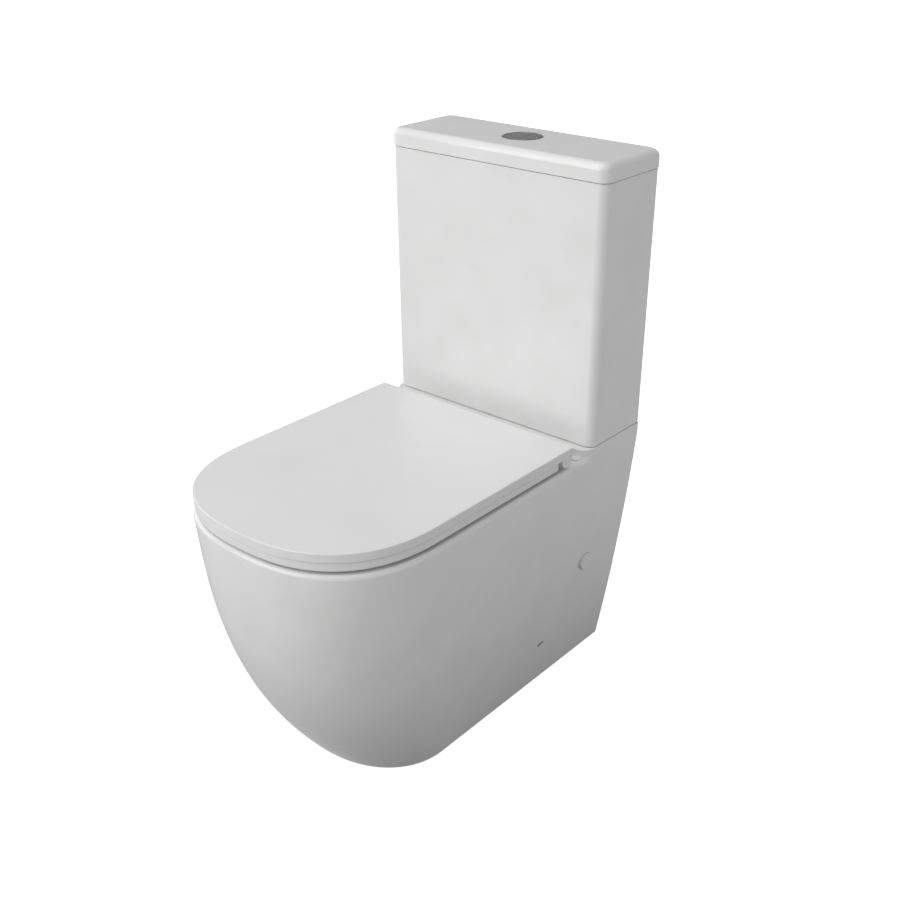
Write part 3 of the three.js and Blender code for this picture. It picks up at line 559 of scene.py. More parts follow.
SIDE_AT_FLOOR, LEAN, BELLY = 138.5, 0.1831, 0.000119
PAN_FRONT = SEAT_FRONT - 0.9
LEDGE_DEPTH, LEDGE_CORNER = 142.0, 22.0
RIM_EDGE = 7.0                          # rounding of the pan's rim
RIM_EDGE_LEAST = 0.06                   # what is left of that rounding beside the ledge
RIM_SHOULDER, RIM_FRONT = 463.8, 180.0  # where the rim's rounded front starts, and how far it reaches
FRONT_TUCK, TUCK_POWER = 128.4, 2.45    # how far the front draws in at the floor, and how fast
SHOULDER_AT_FLOOR, SHOULDER_GROWTH = 404.6, 59.2
ROUNDNESS_AT_FLOOR, ROUNDNESS_GROWTH = 2.19, 0.27
PAN_MARKS = [156, 152, 149, 146.5, 144.2, *range(142, 116, -2), 80, 40]     # beside the ledge's corner
LEDGE_FOOT = 9.2                        # hollow curve where the ledge rises from the deck
LEDGE_STEP = 0.1                        # the ledge's sides carry on from the pan's but for this
LEDGE_START = 378                       # the ledge's body begins inside the pan, under the deck


def pan_half(z):
    return SIDE_AT_FLOOR + LEAN * z - BELLY * z * z


def pan_outline(z, inset, rear=0.0):
    t = min(max(z / RIM_Z, 0), 1)
    return d_outline(
        pan_half(max(z, 0)) - inset,
        PAN_FRONT - FRONT_TUCK * (1 - t) ** TUCK_POWER - inset,
        SHOULDER_AT_FLOOR + SHOULDER_GROWTH * t,
        ROUNDNESS_AT_FLOOR + ROUNDNESS_GROWTH * t,
        rear,
        marks=PAN_MARKS,
    )


LEDGE_HALF = pan_half(RIM_Z) - LEDGE_STEP


def rim_edge_at(x, y):
    """The rim's rounding at a place on the outline: it dies out where the ledge comes flush with the side."""
    if y < -LEDGE_DEPTH or abs(x) < LEDGE_HALF - LEDGE_CORNER:
        return RIM_EDGE if y < -LEDGE_DEPTH else RIM_EDGE_LEAST
    past = max(0.0, LEDGE_CORNER ** 2 - max(0.0, -y - LEDGE_DEPTH + LEDGE_CORNER) ** 2)
    room = pan_half(RIM_Z) - (LEDGE_HALF - LEDGE_CORNER) - math.sqrt(past)
    return min(RIM_EDGE, max(RIM_EDGE_LEAST, 0.43 * room))


def pan_shell():
    """The pan's outside, with a rounded foot and rim and a flat deck."""
    foot_edge = 1.5
    rings = [at_height(pan_outline(z, inset), z) for z, inset in edge_rows(0, 10, foot_edge, 0, 4)[:5]]
    rows = 34
    for i in range(1, rows + 1):
        z = foot_edge + (RIM_Z - RIM_EDGE - foot_edge) * i / rows
        rings.append(at_height(pan_outline(z, 0), z))
    rim = pan_outline(RIM_Z, 0)
    below = pan_outline(RIM_Z - RIM_EDGE, 0)
    steps = 8
    for i in range(1, steps + 1):
        a = math.radians(90 * i / steps)
        ring = []
        for (x, y), (x0, y0) in zip(rim, below):
            edge = rim_edge_at(x, y)
            out = Vector((0, 0))
            if y < -10:
                out = Vector((x / pan_half(RIM_Z), min(0.0, (y + RIM_SHOULDER) / RIM_FRONT))).normalized()
            z = RIM_Z - RIM_EDGE + (RIM_EDGE - edge) * i / steps + edge * math.sin(a)
            share = (z - RIM_Z + RIM_EDGE) / RIM_EDGE
            inset = edge * (1 - math.cos(a))
            ring.append((x0 + (x - x0) * share - out.x * inset, y0 + (y - y0) * share - out.y * inset, z))
        rings.append(ring)
    heart = -330                        # the deck's faces close in on this place, where the bowl opens
    for share in (0.96, 0.9, 0.8, 0.68, 0.54, 0.4, 0.25, 0.1):
        rings.append([(x * share, heart + (y - heart) * share, z) for x, y, z in ring])
    return loft(rings)


def ledge():
    """The raised rear part, with a hollow curve down to the deck that narrows as it nears the pan's side."""
    outline = box_outline(LEDGE_HALF, LEDGE_DEPTH, 0, LEDGE_CORNER, 0.05, 18)
    count = len(outline)
    feet, normals = [], []
    for k, (x, y) in enumerate(outline):
        (x0, y0), (x1, y1) = outline[k - 1], outline[(k + 1) % count]
        normal = Vector((y1 - y0, x0 - x1)).normalized()
        past = min(1.0, max(0.0, -y - LEDGE_DEPTH + LEDGE_CORNER) / LEDGE_CORNER)
        foot = LEDGE_FOOT if past > 0 else 0.0
        while foot > 0:
            end_x, end_y = x + normal.x * foot, y + normal.y * foot
            if abs(end_x) <= pan_half(RIM_Z) - rim_edge_at(math.copysign(LEDGE_HALF, end_x), end_y):
                break
            foot -= 0.1
        feet.append((max(foot, 0.0), past))
        normals.append(normal)

    def ring(z, offset):
        """A ring at z; offset gives each point's least height and its distance out from the ledge's side."""
        drop = pan_half(RIM_Z) - pan_half(min(z, RIM_Z))
        points = []
        for (x, y), n, (foot, past) in zip(outline, normals, feet):
            height, out = offset(foot, past)
            points.append((x + n.x * out - math.copysign(drop, x), y + min(0.0, n.y * out), max(z, height)))
        return points

    sunk = 0.03                         # the hollow curve starts this far under the deck
    rings = [ring(z, lambda foot, past: (0, -8 * past)) for z in (LEDGE_START, RIM_Z - 9)]
    rings.append(ring(RIM_Z - 1.5, lambda foot, past: (0, foot - 1.2 * past)))
    rings.append(ring(RIM_Z - sunk, lambda foot, past: (0, foot)))
    steps = 9
    for i in range(1, steps + 1):
        a = math.radians(90 * i / steps)
        rings.append(ring(RIM_Z, lambda foot, past: (
            RIM_Z - sunk + max(foot, 0.5) * (1 - math.cos(a)), foot * (1 - math.sin(a)))))
    top_edge = edge_rows(RIM_Z, LEDGE_Z, 0, 1.0, 5)[6:]
    rings += [ring(z, lambda foot, past: (0, -inset)) for z, inset in top_edge]
    rings.append(ring(LEDGE_Z, lambda foot, past: (0, -4.0)))
    return loft(rings)


def bowl_table():
    """Height, half width, front and rear of the bowl's glazed face, sump first."""
    stations = [
        (88, 32, 386, 312), (120, 50, 424, 303), (180, 74, 484, 295), (240, 101, 540, 285),
        (300, 126, 580, 275), (360, 144, 602, 266), (398, 150, 608, 262),
    ]
    return eased(stations, 10)


BOWL = bowl_table()


def bowl_at(z):
    for a, b in zip(BOWL, BOWL[1:]):
        if z <= b[0]:
            t = max(0.0, (z - a[0]) / (b[0] - a[0]))
            return [p + (q - p) * t for p, q in zip(a[1:], b[1:])]
    return BOWL[-1][1:]


def bowl_body(grow):
    """The bowl's glazed face, grown outwards: 0 for the space in the bowl, more for its wall."""
    base, corner_radius, top = 88 - grow, 8 + grow, 391
    start = base + corner_radius
    rows = [(z, -inset) for z, inset in edge_rows(base, base + 40, corner_radius, 0, 6)[:7]]
    rows += [(start + i * (top - base - corner_radius) / 30, 0.0) for i in range(1, 30)]
    rows += [(top, 0.0)] if grow else lip_rows(RIM_Z, 7, 7)
    rings = []
    for z, more in rows:
        half, front, rear = bowl_at(z)
        rings.append(at_height(egg_outline(half + grow + more, front + grow + more, rear - grow - more), z))
    if grow:
        rings.append([(x, y, RIM_Z - 1) for x, y, z in rings[-1]])
    return loft(rings)


TRAP_BENDS = [                          # distance from the wall and height, from the sump to the outlet
    (355, 116), (312, 117), (270, 142), (247, 186), (214, 220), (178, 220), (148, 197), (112, 181), (84, 180),
]
TRAP = [(0, -y, z) for y, z in eased(TRAP_BENDS, 7)]
SHELL = 12.0                            # thickness of the pan's walls

CAP_Y, CAP_Z = -96.0, 202.0
CAP_X = pan_half(CAP_Z)
CAP_SEAT = 2.6                          # the flat that the cap sits on, cut this deep into the leaning side
CAP_HOLE, CAP_RADIUS = 12.5, 14.4
SLOT_Y, SLOT_Z = -182.5, 80.0           # the hole for the side fixing screw
SLOT_X, SLOT_DEPTH = pan_half(SLOT_Z), 9.5


def side_slot(length, height, x0, x1):
    """A cutter for a slot with round ends in the pan's side."""
    reach = (length - height) / 2
    rear_end = arc(SLOT_Y + reach, SLOT_Z, height / 2, -90, 90, 12)
    front_end = arc(SLOT_Y - reach, SLOT_Z, height / 2, 90, 270, 12)
    return side_slab(rear_end + front_end, min(x0, x1), max(x0, x1), 0)


def make_pan():
    body = join(pan_shell(), ledge())
    bottom, straight, corner_radius = -5, 387, 10
    hollow = [(bottom + straight * i / 16, SHELL) for i in range(17)]
    for i in range(1, 7):
        a = math.radians(15 * i)
        z = DECK_UNDER - corner_radius + corner_radius * math.sin(a)
        hollow.append((z, SHELL + corner_radius - corner_radius * math.cos(a)))
    cut(body, loft([at_height(pan_outline(z, inset, -5), z) for z, inset in hollow]))
    join(body,
         bowl_body(10), swept(TRAP, 38, 48), rod(51, -120, -72, (0, SPIGOT_Z), Y, 72, 2.5),
         block((-40, -276, 350), (40, -32, RIM_Z - 2), 7))
    cut(body,
        bowl_body(0), swept(TRAP, 28, 48), rod(41, -112, -70, (0, SPIGOT_Z), Y, 64),
        block((-28, -300, 362), (28, -44, 389), 6))
    above = LEDGE_Z + 1
    flush_hole = [(0, 385), (29, 385), (29, 401.2), (51.5, 401.2), (51.5, above), (0, above)]
    holes = [turned(flush_hole, (0, FLUSH_Y), Z, 80), rod(25, 374, LEDGE_Z + 1.3, (FILL_X, FILL_Y))]
    for side in (-1, 1):
        cap_hole = sorted((side * (CAP_X - 30), side * (CAP_X + 10)))
        cap_flat = sorted((side * (CAP_X - CAP_SEAT), side * (CAP_X + 10)))
        holes += [
            rod(6, 374, above, (side * BOLT_X, FLUSH_Y)),
            rod(7, 374, RIM_Z + 1, (side * HINGE_X, AXIS_Y)),
            rod(CAP_HOLE, *cap_hole, (CAP_Y, CAP_Z), X, 64),
            rod(CAP_RADIUS + 0.4, *cap_flat, (CAP_Y, CAP_Z), X, 64),
            side_slot(16, 7, side * (SLOT_X - SLOT_DEPTH), side * (SLOT_X + 10)),
            side_slot(14.4, 6, side * (SLOT_X - 25), side * (SLOT_X - SLOT_DEPTH + 1)),
        ]
    cut(body, *holes)
    return finish(body, "pan", "ceramic", sharp=38)


make_pan()

for name, side in SIDES.items():
    neck, under = CAP_HOLE - GAP, GAP - CAP_SEAT
    plug = [
        (0, -14), (neck - 1, -14), (neck, -12.5), (neck, under), (CAP_RADIUS, under), (CAP_RADIUS, 4.1),
        (CAP_RADIUS - 0.6, 4.7), (8, 4.8), (0, 4.9)]
    cap = [(r, side * (CAP_X + reach)) for r, reach in softened(plug, 0.4, 3)]
    finish(turned(cap, (CAP_Y, CAP_Z), X, 72), f"side_cap_{name}", "seat_plastic")

    x = sorted((112 * side, 116 * side))
    foot = sorted((76 * side, 116 * side))
    angle = join(block((x[0], SLOT_Y - 20, 0), (x[1], SLOT_Y + 20, 100), 1.2, 3),
                 block((foot[0], SLOT_Y - 20, 0), (foot[1], SLOT_Y + 20, 4), 1.2, 3))
    cut(angle,
        rod(2.9, 105 * side, 120 * side, (SLOT_Y, SLOT_Z), X, 32),
        rod(4, -1, 5, (92 * side, SLOT_Y), Z, 32))
    finish(angle, f"floor_bracket_{name}", "steel")

    ledge_x = SLOT_X - SLOT_DEPTH
    head = [
        (0, ledge_x + 3), (2, ledge_x + 3), (3.3, ledge_x + 2.2), (3.4, ledge_x + 0.3), (2.5, ledge_x + 0.3)]
    screw = softened(head, 0.5) + threads(2.5, 0.4, ledge_x - 1, 106, 1.3) + [(0, 104)]
    piece = turned([(r, side * h) for r, h in screw], (SLOT_Y, SLOT_Z), X, 32)
    face = side * (ledge_x + 2.6)
    cross = [
        block((face - 1, SLOT_Y - a, SLOT_Z - b), (face + 1, SLOT_Y + a, SLOT_Z + b))
        for a, b in ((1.9, 0.4), (0.4, 1.9))]
    finish(cut(piece, *cross), f"bracket_screw_{name}", "steel")

collar = [
    (51.4, -66), (56, -66), (58.5, -74), (56, -78), (58.5, -86),
    (56.2, -90), (58.5, -96), (55, -100), (54, -108), (51.4, -108)]
finish(turned(softened(collar, 1.2, 3), (0, SPIGOT_Z), Y, 80), "outlet_seal", "rubber")

# ------------------------------------------------------------------ cistern and its lid


def tank_outline(z, inset, rear):
    t = (z - TANK_Z) / (TANK_TOP - TANK_Z)
    half, front = 192.6 + 2.4 * t, 127.3 + 4.4 * t
    return box_outline(half - inset, front - inset, rear, 14 - 0.7 * inset, 1.5, 16)


def make_cistern():
    outside = side_rows(TANK_Z, TANK_TOP, 0.8, 0.8, 4, 8)
    body = loft([at_height(tank_outline(z, inset, inset), z) for z, inset in outside])
    wall = 10
    rows = [(z, wall + inset) for z, inset in side_rows(TANK_FLOOR, TANK_TOP - 2, 9, 0, 6, 8)]
    rows += [(z, wall - more) for z, more in lip_rows(TANK_TOP, 2, 4)]
    cut(body, loft([at_height(tank_outline(z, inset, inset), z) for z, inset in rows]))
    holes = [(27, 0, FLUSH_Y), (12, FILL_X, FILL_Y), (5.5, -BOLT_X, FLUSH_Y), (5.5, BOLT_X, FLUSH_Y)]
    cut(body, *[rod(r, TANK_Z - 1, TANK_FLOOR + 1, (x, y)) for r, x, y in holes])
    return finish(body, "cistern", "ceramic")


def make_cistern_lid():
    def slab(z, inset):
        corners = 15 - 0.6 * inset, 1.5 + 0.8 * inset
        return at_height(box_outline(196.3 - inset, 133.2 - inset, 0.25 * inset, *corners, 16), z)

    def rim(z, inset):
        return at_height(box_outline(195 - inset, 131.7 - inset, inset, 10, 8, 10), z)

    outside = edge_rows(COVER_Z, COVER_TOP, 0.8, 11, 12) + [(COVER_TOP, 13)]
    body = loft([slab(z, inset) for z, inset in outside])
    join(body, loft([rim(z, 13 + inset) for z, inset in edge_rows(COVER_Z - 8.8, COVER_Z + 4, 1.5, 0, 4)]))
    hollow = [(COVER_Z - 10, 0)] + edge_rows(COVER_Z, COVER_TOP - 13, 0, 5, 5)[6:]
    button_seat = [
        (0, COVER_TOP - 2.8), (30.5, COVER_TOP - 2.8), (30.5, COVER_TOP - 0.5),
        (31.2, COVER_TOP + 0.1), (31.2, COVER_TOP + 1), (0, COVER_TOP + 1)]
    cut(body,
        loft([rim(z, 21 + inset) for z, inset in hollow]),
        rod(28.6, COVER_Z - 1, COVER_TOP + 1, (0, BUTTON_Y), Z, 80),
        turned(button_seat, (0, BUTTON_Y), Z, 80))
    return finish(body, "cistern_lid", "ceramic")


make_cistern()
make_cistern_lid()

# ------------------------------------------------------------------ flush buttons

BUTTON_TOP = COVER_TOP + 0.2
ROD_OFF = 19                            # the push rods stand this far to each side of the middle
housing = [(0, COVER_Z - 0.8), (28, COVER_Z - 0.8)] + threads(28, 0.6, COVER_Z, COVER_Z + 16, 2) + [
    (28, COVER_TOP - 2.4), (30, COVER_TOP - 2.4), (30, COVER_TOP - 0.3), (29.2, COVER_TOP + 0.4),
    (26.8, COVER_TOP + 0.4), (26.2, COVER_TOP - 0.1), (26.2, COVER_Z + 2.2), (0, COVER_Z + 2.2)]
cup = turned(softened(housing, 0.35, 3), (0, BUTTON_Y), Z, 96)
cut(cup, *[rod(5, COVER_Z - 2, COVER_Z + 4, (ROD_OFF * side, BUTTON_Y), Z, 32) for side in (-1, 1)])
finish(cup, "button_housing", "dark_chrome")

lock_nut = turned(softened(band(28.5, 34, 818.5, 826.6), 0.8), (0, BUTTON_Y), Z, 72)
for k in range(12):
    a = math.radians(30 * k)
    rib = block((-2.6, -35, 819.2), (2.6, -32, 825.9), 0.8, 3)
    rib.data.transform(Matrix.Translation((0, WALL + BUTTON_Y * MM, 0)) @ Matrix.Rotation(a, 4, "Z")
                       @ Matrix.Translation((0, -WALL, 0)))
    join(lock_nut, rib)
finish(lock_nut, "button_lock_nut", "grey_plastic")

for name, side in HALVES.items():
    edge = 4 + 0.4 * side               # where the round plate is split, off the middle
    spot = (ROD_OFF * side, BUTTON_Y)
    disc = band(0, 25.7, BUTTON_TOP - 4.7, BUTTON_TOP)
    plate = turned(softened(disc, 0.6, 4), (0, BUTTON_Y), Z, 96)
    half_space = (block((-40, BUTTON_Y - 40, 800), (edge, BUTTON_Y + 40, 850)) if side < 0
                  else block((edge, BUTTON_Y - 40, 800), (40, BUTTON_Y + 40, 850)))
    keep(plate, half_space)
    join(plate, turned(softened(band(2.8, 4.2, 818, 836), 0.3), spot, Z, 32))
    finish(plate, f"{name}_flush_button", "dark_chrome", bevel=0.15)

    ribbed = [(0, 769.2), (2.2, 769.2), (2.5, 770)] + threads(2.5, 0.35, 772, 806, 2) + [
        (2.5, 808), (2.5, 833.6), (2.1, 834), (0, 834)]
    finish(turned(ribbed, spot, Z, 32), f"{name}_flush_push_rod", "white_plastic")

    steps, coils, radius = 144, 4.5, 5.6
    path = []
    for i in range(steps + 1):
        a = 2 * math.pi * coils * i / steps
        x, y = spot[0] + radius * math.cos(a), BUTTON_Y + radius * math.sin(a)
        path.append((x, y, 815.7 + 18.9 * i / steps))
    spring = finish(swept(path, 0.45, 10, Vector((0, 0, 1))), f"{name}_flush_spring", "steel")
    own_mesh(spring)

    plunger = [(0, 742), (5.4, 742), (6, 742.8), (6, 766), (8, 766), (8, 768.5), (0, 768.5)]
    finish(turned(softened(plunger, 0.4), spot, Z, 48), f"{name}_flush_plunger", "grey_plastic")

# ------------------------------------------------------------------ seat


def seat_outline(z, inset, rear=168.5):
    return at_height(d_outline(188.6 - inset, SEAT_FRONT - inset, 461, 2.44, rear + 0.5 * inset, 3), z)


def make_seat_lid():
    rows = [(LID_BOTTOM, 4)] + edge_rows(LID_BOTTOM, LID_TOP, 0.7, 1.4, 5) + [(LID_TOP, 4)]
    body = loft([seat_outline(z, inset) for z, inset in rows])
    barrel = 12.5
    knuckle = [(AXIS_Y + barrel, LID_BOTTOM + 3), (AXIS_Y - barrel, LID_BOTTOM + 3)]
    knuckle += arc(AXIS_Y, AXIS_Z, barrel, 180, 360, 40)
    join(body, side_slab(knuckle, -187.4, 187.4, 1.2, 3))
    lip = 14
    recess = [(LID_BOTTOM - 1, 0), (LID_BOTTOM, 0)] + edge_rows(LID_BOTTOM, LID_BOTTOM + 6, 0, 4, 4)[5:]
    cut(body, loft([seat_outline(z, lip + inset, 212) for z, inset in recess]))
    top = LID_BOTTOM + 7.8
    for side in (-1, 1):
        lug = sorted((50.5 * side, 69.5 * side))
        post = sorted((68.5 * side, (HINGE_X + 8.8) * side))
        cut(body,
            block((lug[0], AXIS_Y - 15, 400), (lug[1], AXIS_Y + 9.5, top)),
            block((post[0], AXIS_Y - 15, 400), (post[1], AXIS_Y + 15, top)),
            rod(6.9, (HINGE_X + 7.2) * side, 118 * side, AXIS, X))
    return finish(body, "seat_lid", "seat_plastic")


RING_BUFFERS = [(-165, -310), (165, -310), (-150, -545), (150, -545)]
LID_BUFFERS = [(-142, -545), (142, -545)]


def make_seat_ring():
    rows = edge_rows(RING_BOTTOM, RING_TOP, 3, 1, 5)
    body = loft([seat_outline(z, 1.6 + inset, 200) for z, inset in rows] + [seat_outline(RING_TOP, 6, 200)])
    lower = lip_rows(RING_BOTTOM + 3, 3, 4)[:-1]
    rows = [(RING_BOTTOM - 1, 3)] + [(2 * RING_BOTTOM + 3 - z, more) for z, more in reversed(lower)]
    rows += lip_rows(RING_TOP, 6, 6)
    cut(body, loft([at_height(egg_outline(112 + more, 575 + more, 290 - more, 0.48), z) for z, more in rows]))
    for side in (-1, 1):
        x = sorted((52.5 * side, 68.5 * side))
        join(body,
             rod(8.5, x[0], x[1], AXIS, X, 56, 0.6),
             block((x[0], -208, 411.5), (x[1], AXIS_Y - 1, RING_TOP), 1.5, 3))
        cut(body, rod(3.4, 50 * side, 71 * side, AXIS, X, 32))
    cut(body, *[rod(9.4, RING_BOTTOM - 1, RING_BOTTOM + 2, spot) for spot in RING_BUFFERS])
    return finish(body, "seat_ring", "seat_plastic")


make_seat_lid()
make_seat_ring()

for i, spot in enumerate(RING_BUFFERS):
    low, high = RIM_Z + GAP, RING_BOTTOM + 1.7
    pad = [(0, low), (7.4, low), (9, RIM_Z + 2), (9, high), (0, high)]
    finish(turned(softened(pad, 0.8, 3), spot), f"ring_buffer_{i + 1}", "buffer")
for i, spot in enumerate(LID_BUFFERS):
    low, high = RING_TOP + 0.4, LID_BOTTOM + 5.7
    pad = [(0, low), (4.2, low), (5, RING_TOP + 1.4), (5, high), (0, high)]
    finish(turned(softened(pad, 0.6, 3), spot), f"lid_buffer_{i + 1}", "buffer")

for name, side in SIDES.items():
    x = HINGE_X * side
    base_top = corner(f"hinge_post_{name}", 0, Z) + 1.6
    post = join(
        block((x - 17, AXIS_Y - 15, RIM_Z + 0.3), (x + 17, AXIS_Y + 15, base_top), 0.7, 3),
        block((x - 7.2, AXIS_Y - 7, base_top - 1), (x + 7.2, AXIS_Y + 7, AXIS_Z), 0.9, 3),
        rod(8, x - 7.2, x + 7.2, AXIS, X, 56, 0.8))
    cut(post,
        rod(3.3, x - 20, x + 20, AXIS, X, 32),
        rod(4.3, RIM_Z - 1, RIM_Z + 8, (x, AXIS_Y), Z, 32))
    finish(post, f"hinge_post_{name}", "steel")
    pin = rod(3, 53, 99, AXIS, X, 40, 0.5)
    if side < 0:
        pin.data.transform(Matrix.Scale(-1, 4, (1, 0, 0)))
        pin.data.flip_normals()
    finish(pin, f"hinge_pin_{name}", "steel")
    x0, x1 = sorted((87 * side, 117 * side))
    barrel = rod(6.5, x0, x1, AXIS, X, 56, 0.6)
    groove = turned(band(5.9, 7, 110 * side - 1, 110 * side + 1), AXIS, X, 56)
    cut(barrel, groove, rod(3.4, 86 * side, 101 * side, AXIS, X, 32))
    finish(barrel, f"hinge_damper_{name}", "grey_plastic")

    bolt = [(0, 356), (3.3, 356)] + threads(3.9, 0.45, 357, 390, 1.4) + [
        (3.9, 391), (3.9, RIM_Z + 7.1), (3.5, RIM_Z + 7.5), (0, RIM_Z + 7.5)]
    finish(turned(bolt, (x, AXIS_Y), Z, 32), f"seat_fixing_bolt_{name}", "steel")
    under = DECK_UNDER - GAP
    nut = [
        (4.3, under - 14), (8.4, under - 14), (9, under - 12.6), (10.6, under - 8), (10.2, under - 7),
        (12, under - 3), (12, under), (6.6, under), (6.6, RIM_Z - GAP), (4.3, RIM_Z - GAP)]
    finish(turned(softened(nut, 0.6, 3), (x, AXIS_Y), Z, 48), f"seat_fixing_nut_{name}", "rubber")

# ------------------------------------------------------------------ what joins cistern and pan

gasket = [
    (31, 401.6), (47, 401.6), (48.6, 404), (47.6, 408), (49, 412), (49, TANK_Z - GAP), (31, TANK_Z - GAP)]
finish(turned(softened(gasket, 1.2, 3), (0, FLUSH_Y), Z, 80), "coupling_gasket", "rubber")

for name, side in SIDES.items():
    spot = (side * BOLT_X, FLUSH_Y)
    head = TANK_FLOOR + 6.6
    shank = [(0, 372), (3.2, 372)] + threads(3.9, 0.45, 373, 396, 1.4) + [(3.9, 397), (3.9, head)]
    dome = [(9, head), (9, head + 2), (8, head + 3.2), (5, head + 4.2), (0, head + 4.4)]
    x, y = spot
    slot = block((x - 10, y - 0.7, head + 2.6), (x + 10, y + 0.7, head + 6))
    finish(cut(turned(shank + dome, spot, Z, 40), slot), f"cistern_bolt_{name}", "brass")
    low, high = TANK_FLOOR + GAP, TANK_FLOOR + 6.3
    cone = [(4.3, low), (9, low), (12, TANK_FLOOR + 5.4), (12, high), (4.3, high)]
    finish(turned(softened(cone, 0.6, 3), spot, Z, 48), f"bolt_cone_washer_{name}", "rubber")
    under = DECK_UNDER - GAP
    hub = [(4.3, under - 9), (7.8, under - 9), (9, under - 2), (9, under), (4.3, under)]
    wing_nut = turned(softened(hub, 0.7, 3), spot, Z, 48)
    wing = [
        (y - 2, under - 2.4), (y + 2, under - 2.4), (y + 2, under - 8),
        (y + 1.3, under - 12.8), (y - 1.3, under - 12.8), (y - 2, under - 8)]
    for way in (-1, 1):
        join(wing_nut, side_slab(wing, *sorted((x + way * 7, x + way * 19)), 0.8, 3))
    finish(wing_nut, f"wing_nut_{name}", "brass", bevel=0.3)

# ------------------------------------------------------------------ flush valve and fill valve

FLUSH = (0, FLUSH_Y)
FILL = (FILL_X, FILL_Y)
SEAT_Z, COLLAR_Z, HEAD_Z = 446, 470, 735


def turned_piece(node, profile, centre, slot, edge=0.5, segments=72):
    return finish(turned(softened(profile, edge), centre, Z, segments), node, slot)


outlet = [(20, 396), (23.2, 396)] + threads(24, 0.6, 398, 431, 3) + [
    (24, 432), (24, 435.8), (38, 435.8), (38, 440), (24, 440), (24, SEAT_Z), (20, SEAT_Z)]
valve = turned(softened(outlet, 0.4), FLUSH, Z, 72)
collar_ring = turned(softened(band(31, 38, COLLAR_Z, COLLAR_Z + 6), 0.7, 3), FLUSH, Z, 72)
legs = ring_of_blocks(
    (31.5, FLUSH_Y - 4.5, 438.4), (36.5, FLUSH_Y + 4.5, COLLAR_Z + 1), 0.8, 3, FLUSH, 4, 45)
finish(join(valve, collar_ring, *legs), "flush_valve_base", "white_plastic")
turned_piece("flush_valve_washer", band(24.5, 36, 432.5, 435.5), FLUSH, "rubber")

back_nut = turned(softened(band(24.5, 28.6, 407.9, 417.9), 0.7, 3), FLUSH, Z, 72)
join(back_nut, *ring_of_blocks(
    (26.5, FLUSH_Y - 2.2, 408.6), (30.2, FLUSH_Y + 2.2, 417.2), 0.7, 3, FLUSH, 12))
finish(back_nut, "flush_valve_backnut", "white_plastic")

shell = [
    (33, 476.4), (36, 476.4), (36, 500), (35.4, 501), (35.4, 552), (36, 553), (36, 578), (23, 584),
    (23, 729), (38, 731), (38, HEAD_Z), (14, HEAD_Z), (14, 731), (20, 729), (20, 586), (33, 575)]
tower = turned(softened(shell, 0.8, 3), FLUSH, Z, 72)
guides = [(ROD_OFF * side, BUTTON_Y) for side in (-1, 1)]
join(tower, *[rod(9, HEAD_Z - 1, 757, spot, Z, 48, 0.7) for spot in guides])
cut(tower, *[rod(6.4, 732.5, 760, spot, Z, 40) for spot in guides], rod(14.8, 725, 760, FLUSH, Z, 56))
cut(tower, *ring_of_blocks((30, FLUSH_Y - 5, 508), (40, FLUSH_Y + 5, 546), 2, 3, FLUSH, 6, 30))
finish(tower, "flush_valve_tower", "blue_plastic")

tube = [
    (12, SEAT_Z + 4), (26, SEAT_Z + 4), (26, SEAT_Z + 8), (16, SEAT_Z + 9),
    (14, SEAT_Z + 14), (14, 744), (12, 744)]
turned_piece("overflow_tube", tube, FLUSH, "white_plastic")
low, high = SEAT_Z + GAP, SEAT_Z + 3.7
seal = [(12, low), (26, low), (27, SEAT_Z + 1.2), (27, high), (12, high)]
turned_piece("flush_valve_seal", seal, FLUSH, "rubber")

shank = [(6, 388), (9.6, 388)] + threads(10.2, 0.5, 389.5, 430, 1.8) + [
    (10.2, 431), (10.2, 435.8), (17, 435.8), (17, 441), (13, 443), (13, 606), (16, 606), (16, 609.4),
    (13, 609.4), (13, 700), (0, 700), (0, 690), (6, 690)]
turned_piece("fill_valve_body", shank, FILL, "white_plastic", 0.4, 56)
turned_piece("fill_valve_washer", band(10.6, 18, 432.5, 435.5), FILL, "rubber")


def hexagon(radius, z):
    corners = [math.radians(60 * k) for k in range(6)]
    return [(FILL_X + radius * math.cos(a), FILL_Y + radius * math.sin(a), z) for a in corners]


nut = loft([hexagon(16, 407.9), hexagon(17, 408.6), hexagon(17, 417.2), hexagon(16, 417.9)])
finish(cut(nut, rod(10.6, 400, 420, FILL, Z, 56)), "fill_valve_backnut", "brass", bevel=0.3)

PIVOT_X, PIVOT_Z, ROD_X = FILL_X - 10, 730.5, FILL_X + 36
head = [(0, 700.3), (17, 700.3), (17, 705), (16.2, 706), (16.2, 722), (14.5, 724), (0, 724)]
cap = turned(softened(head, 0.7, 3), FILL, Z, 64)
for y in (FILL_Y - 10, FILL_Y + 6.5):
    join(cap, block((PIVOT_X - 5, y, 720), (PIVOT_X + 5, y + 3.5, PIVOT_Z + 6), 0.8, 3))
join(cap, *ring_of_blocks(
    (FILL_X + 15.4, FILL_Y - 0.8, 707), (FILL_X + 17, FILL_Y + 0.8, 721), 0.3, 2, FILL, 15))
cut(cap, rod(2.9, FILL_Y - 12, FILL_Y + 12, (PIVOT_X, PIVOT_Z), Y, 32))
finish(cap, "fill_valve_head", "grey_plastic")

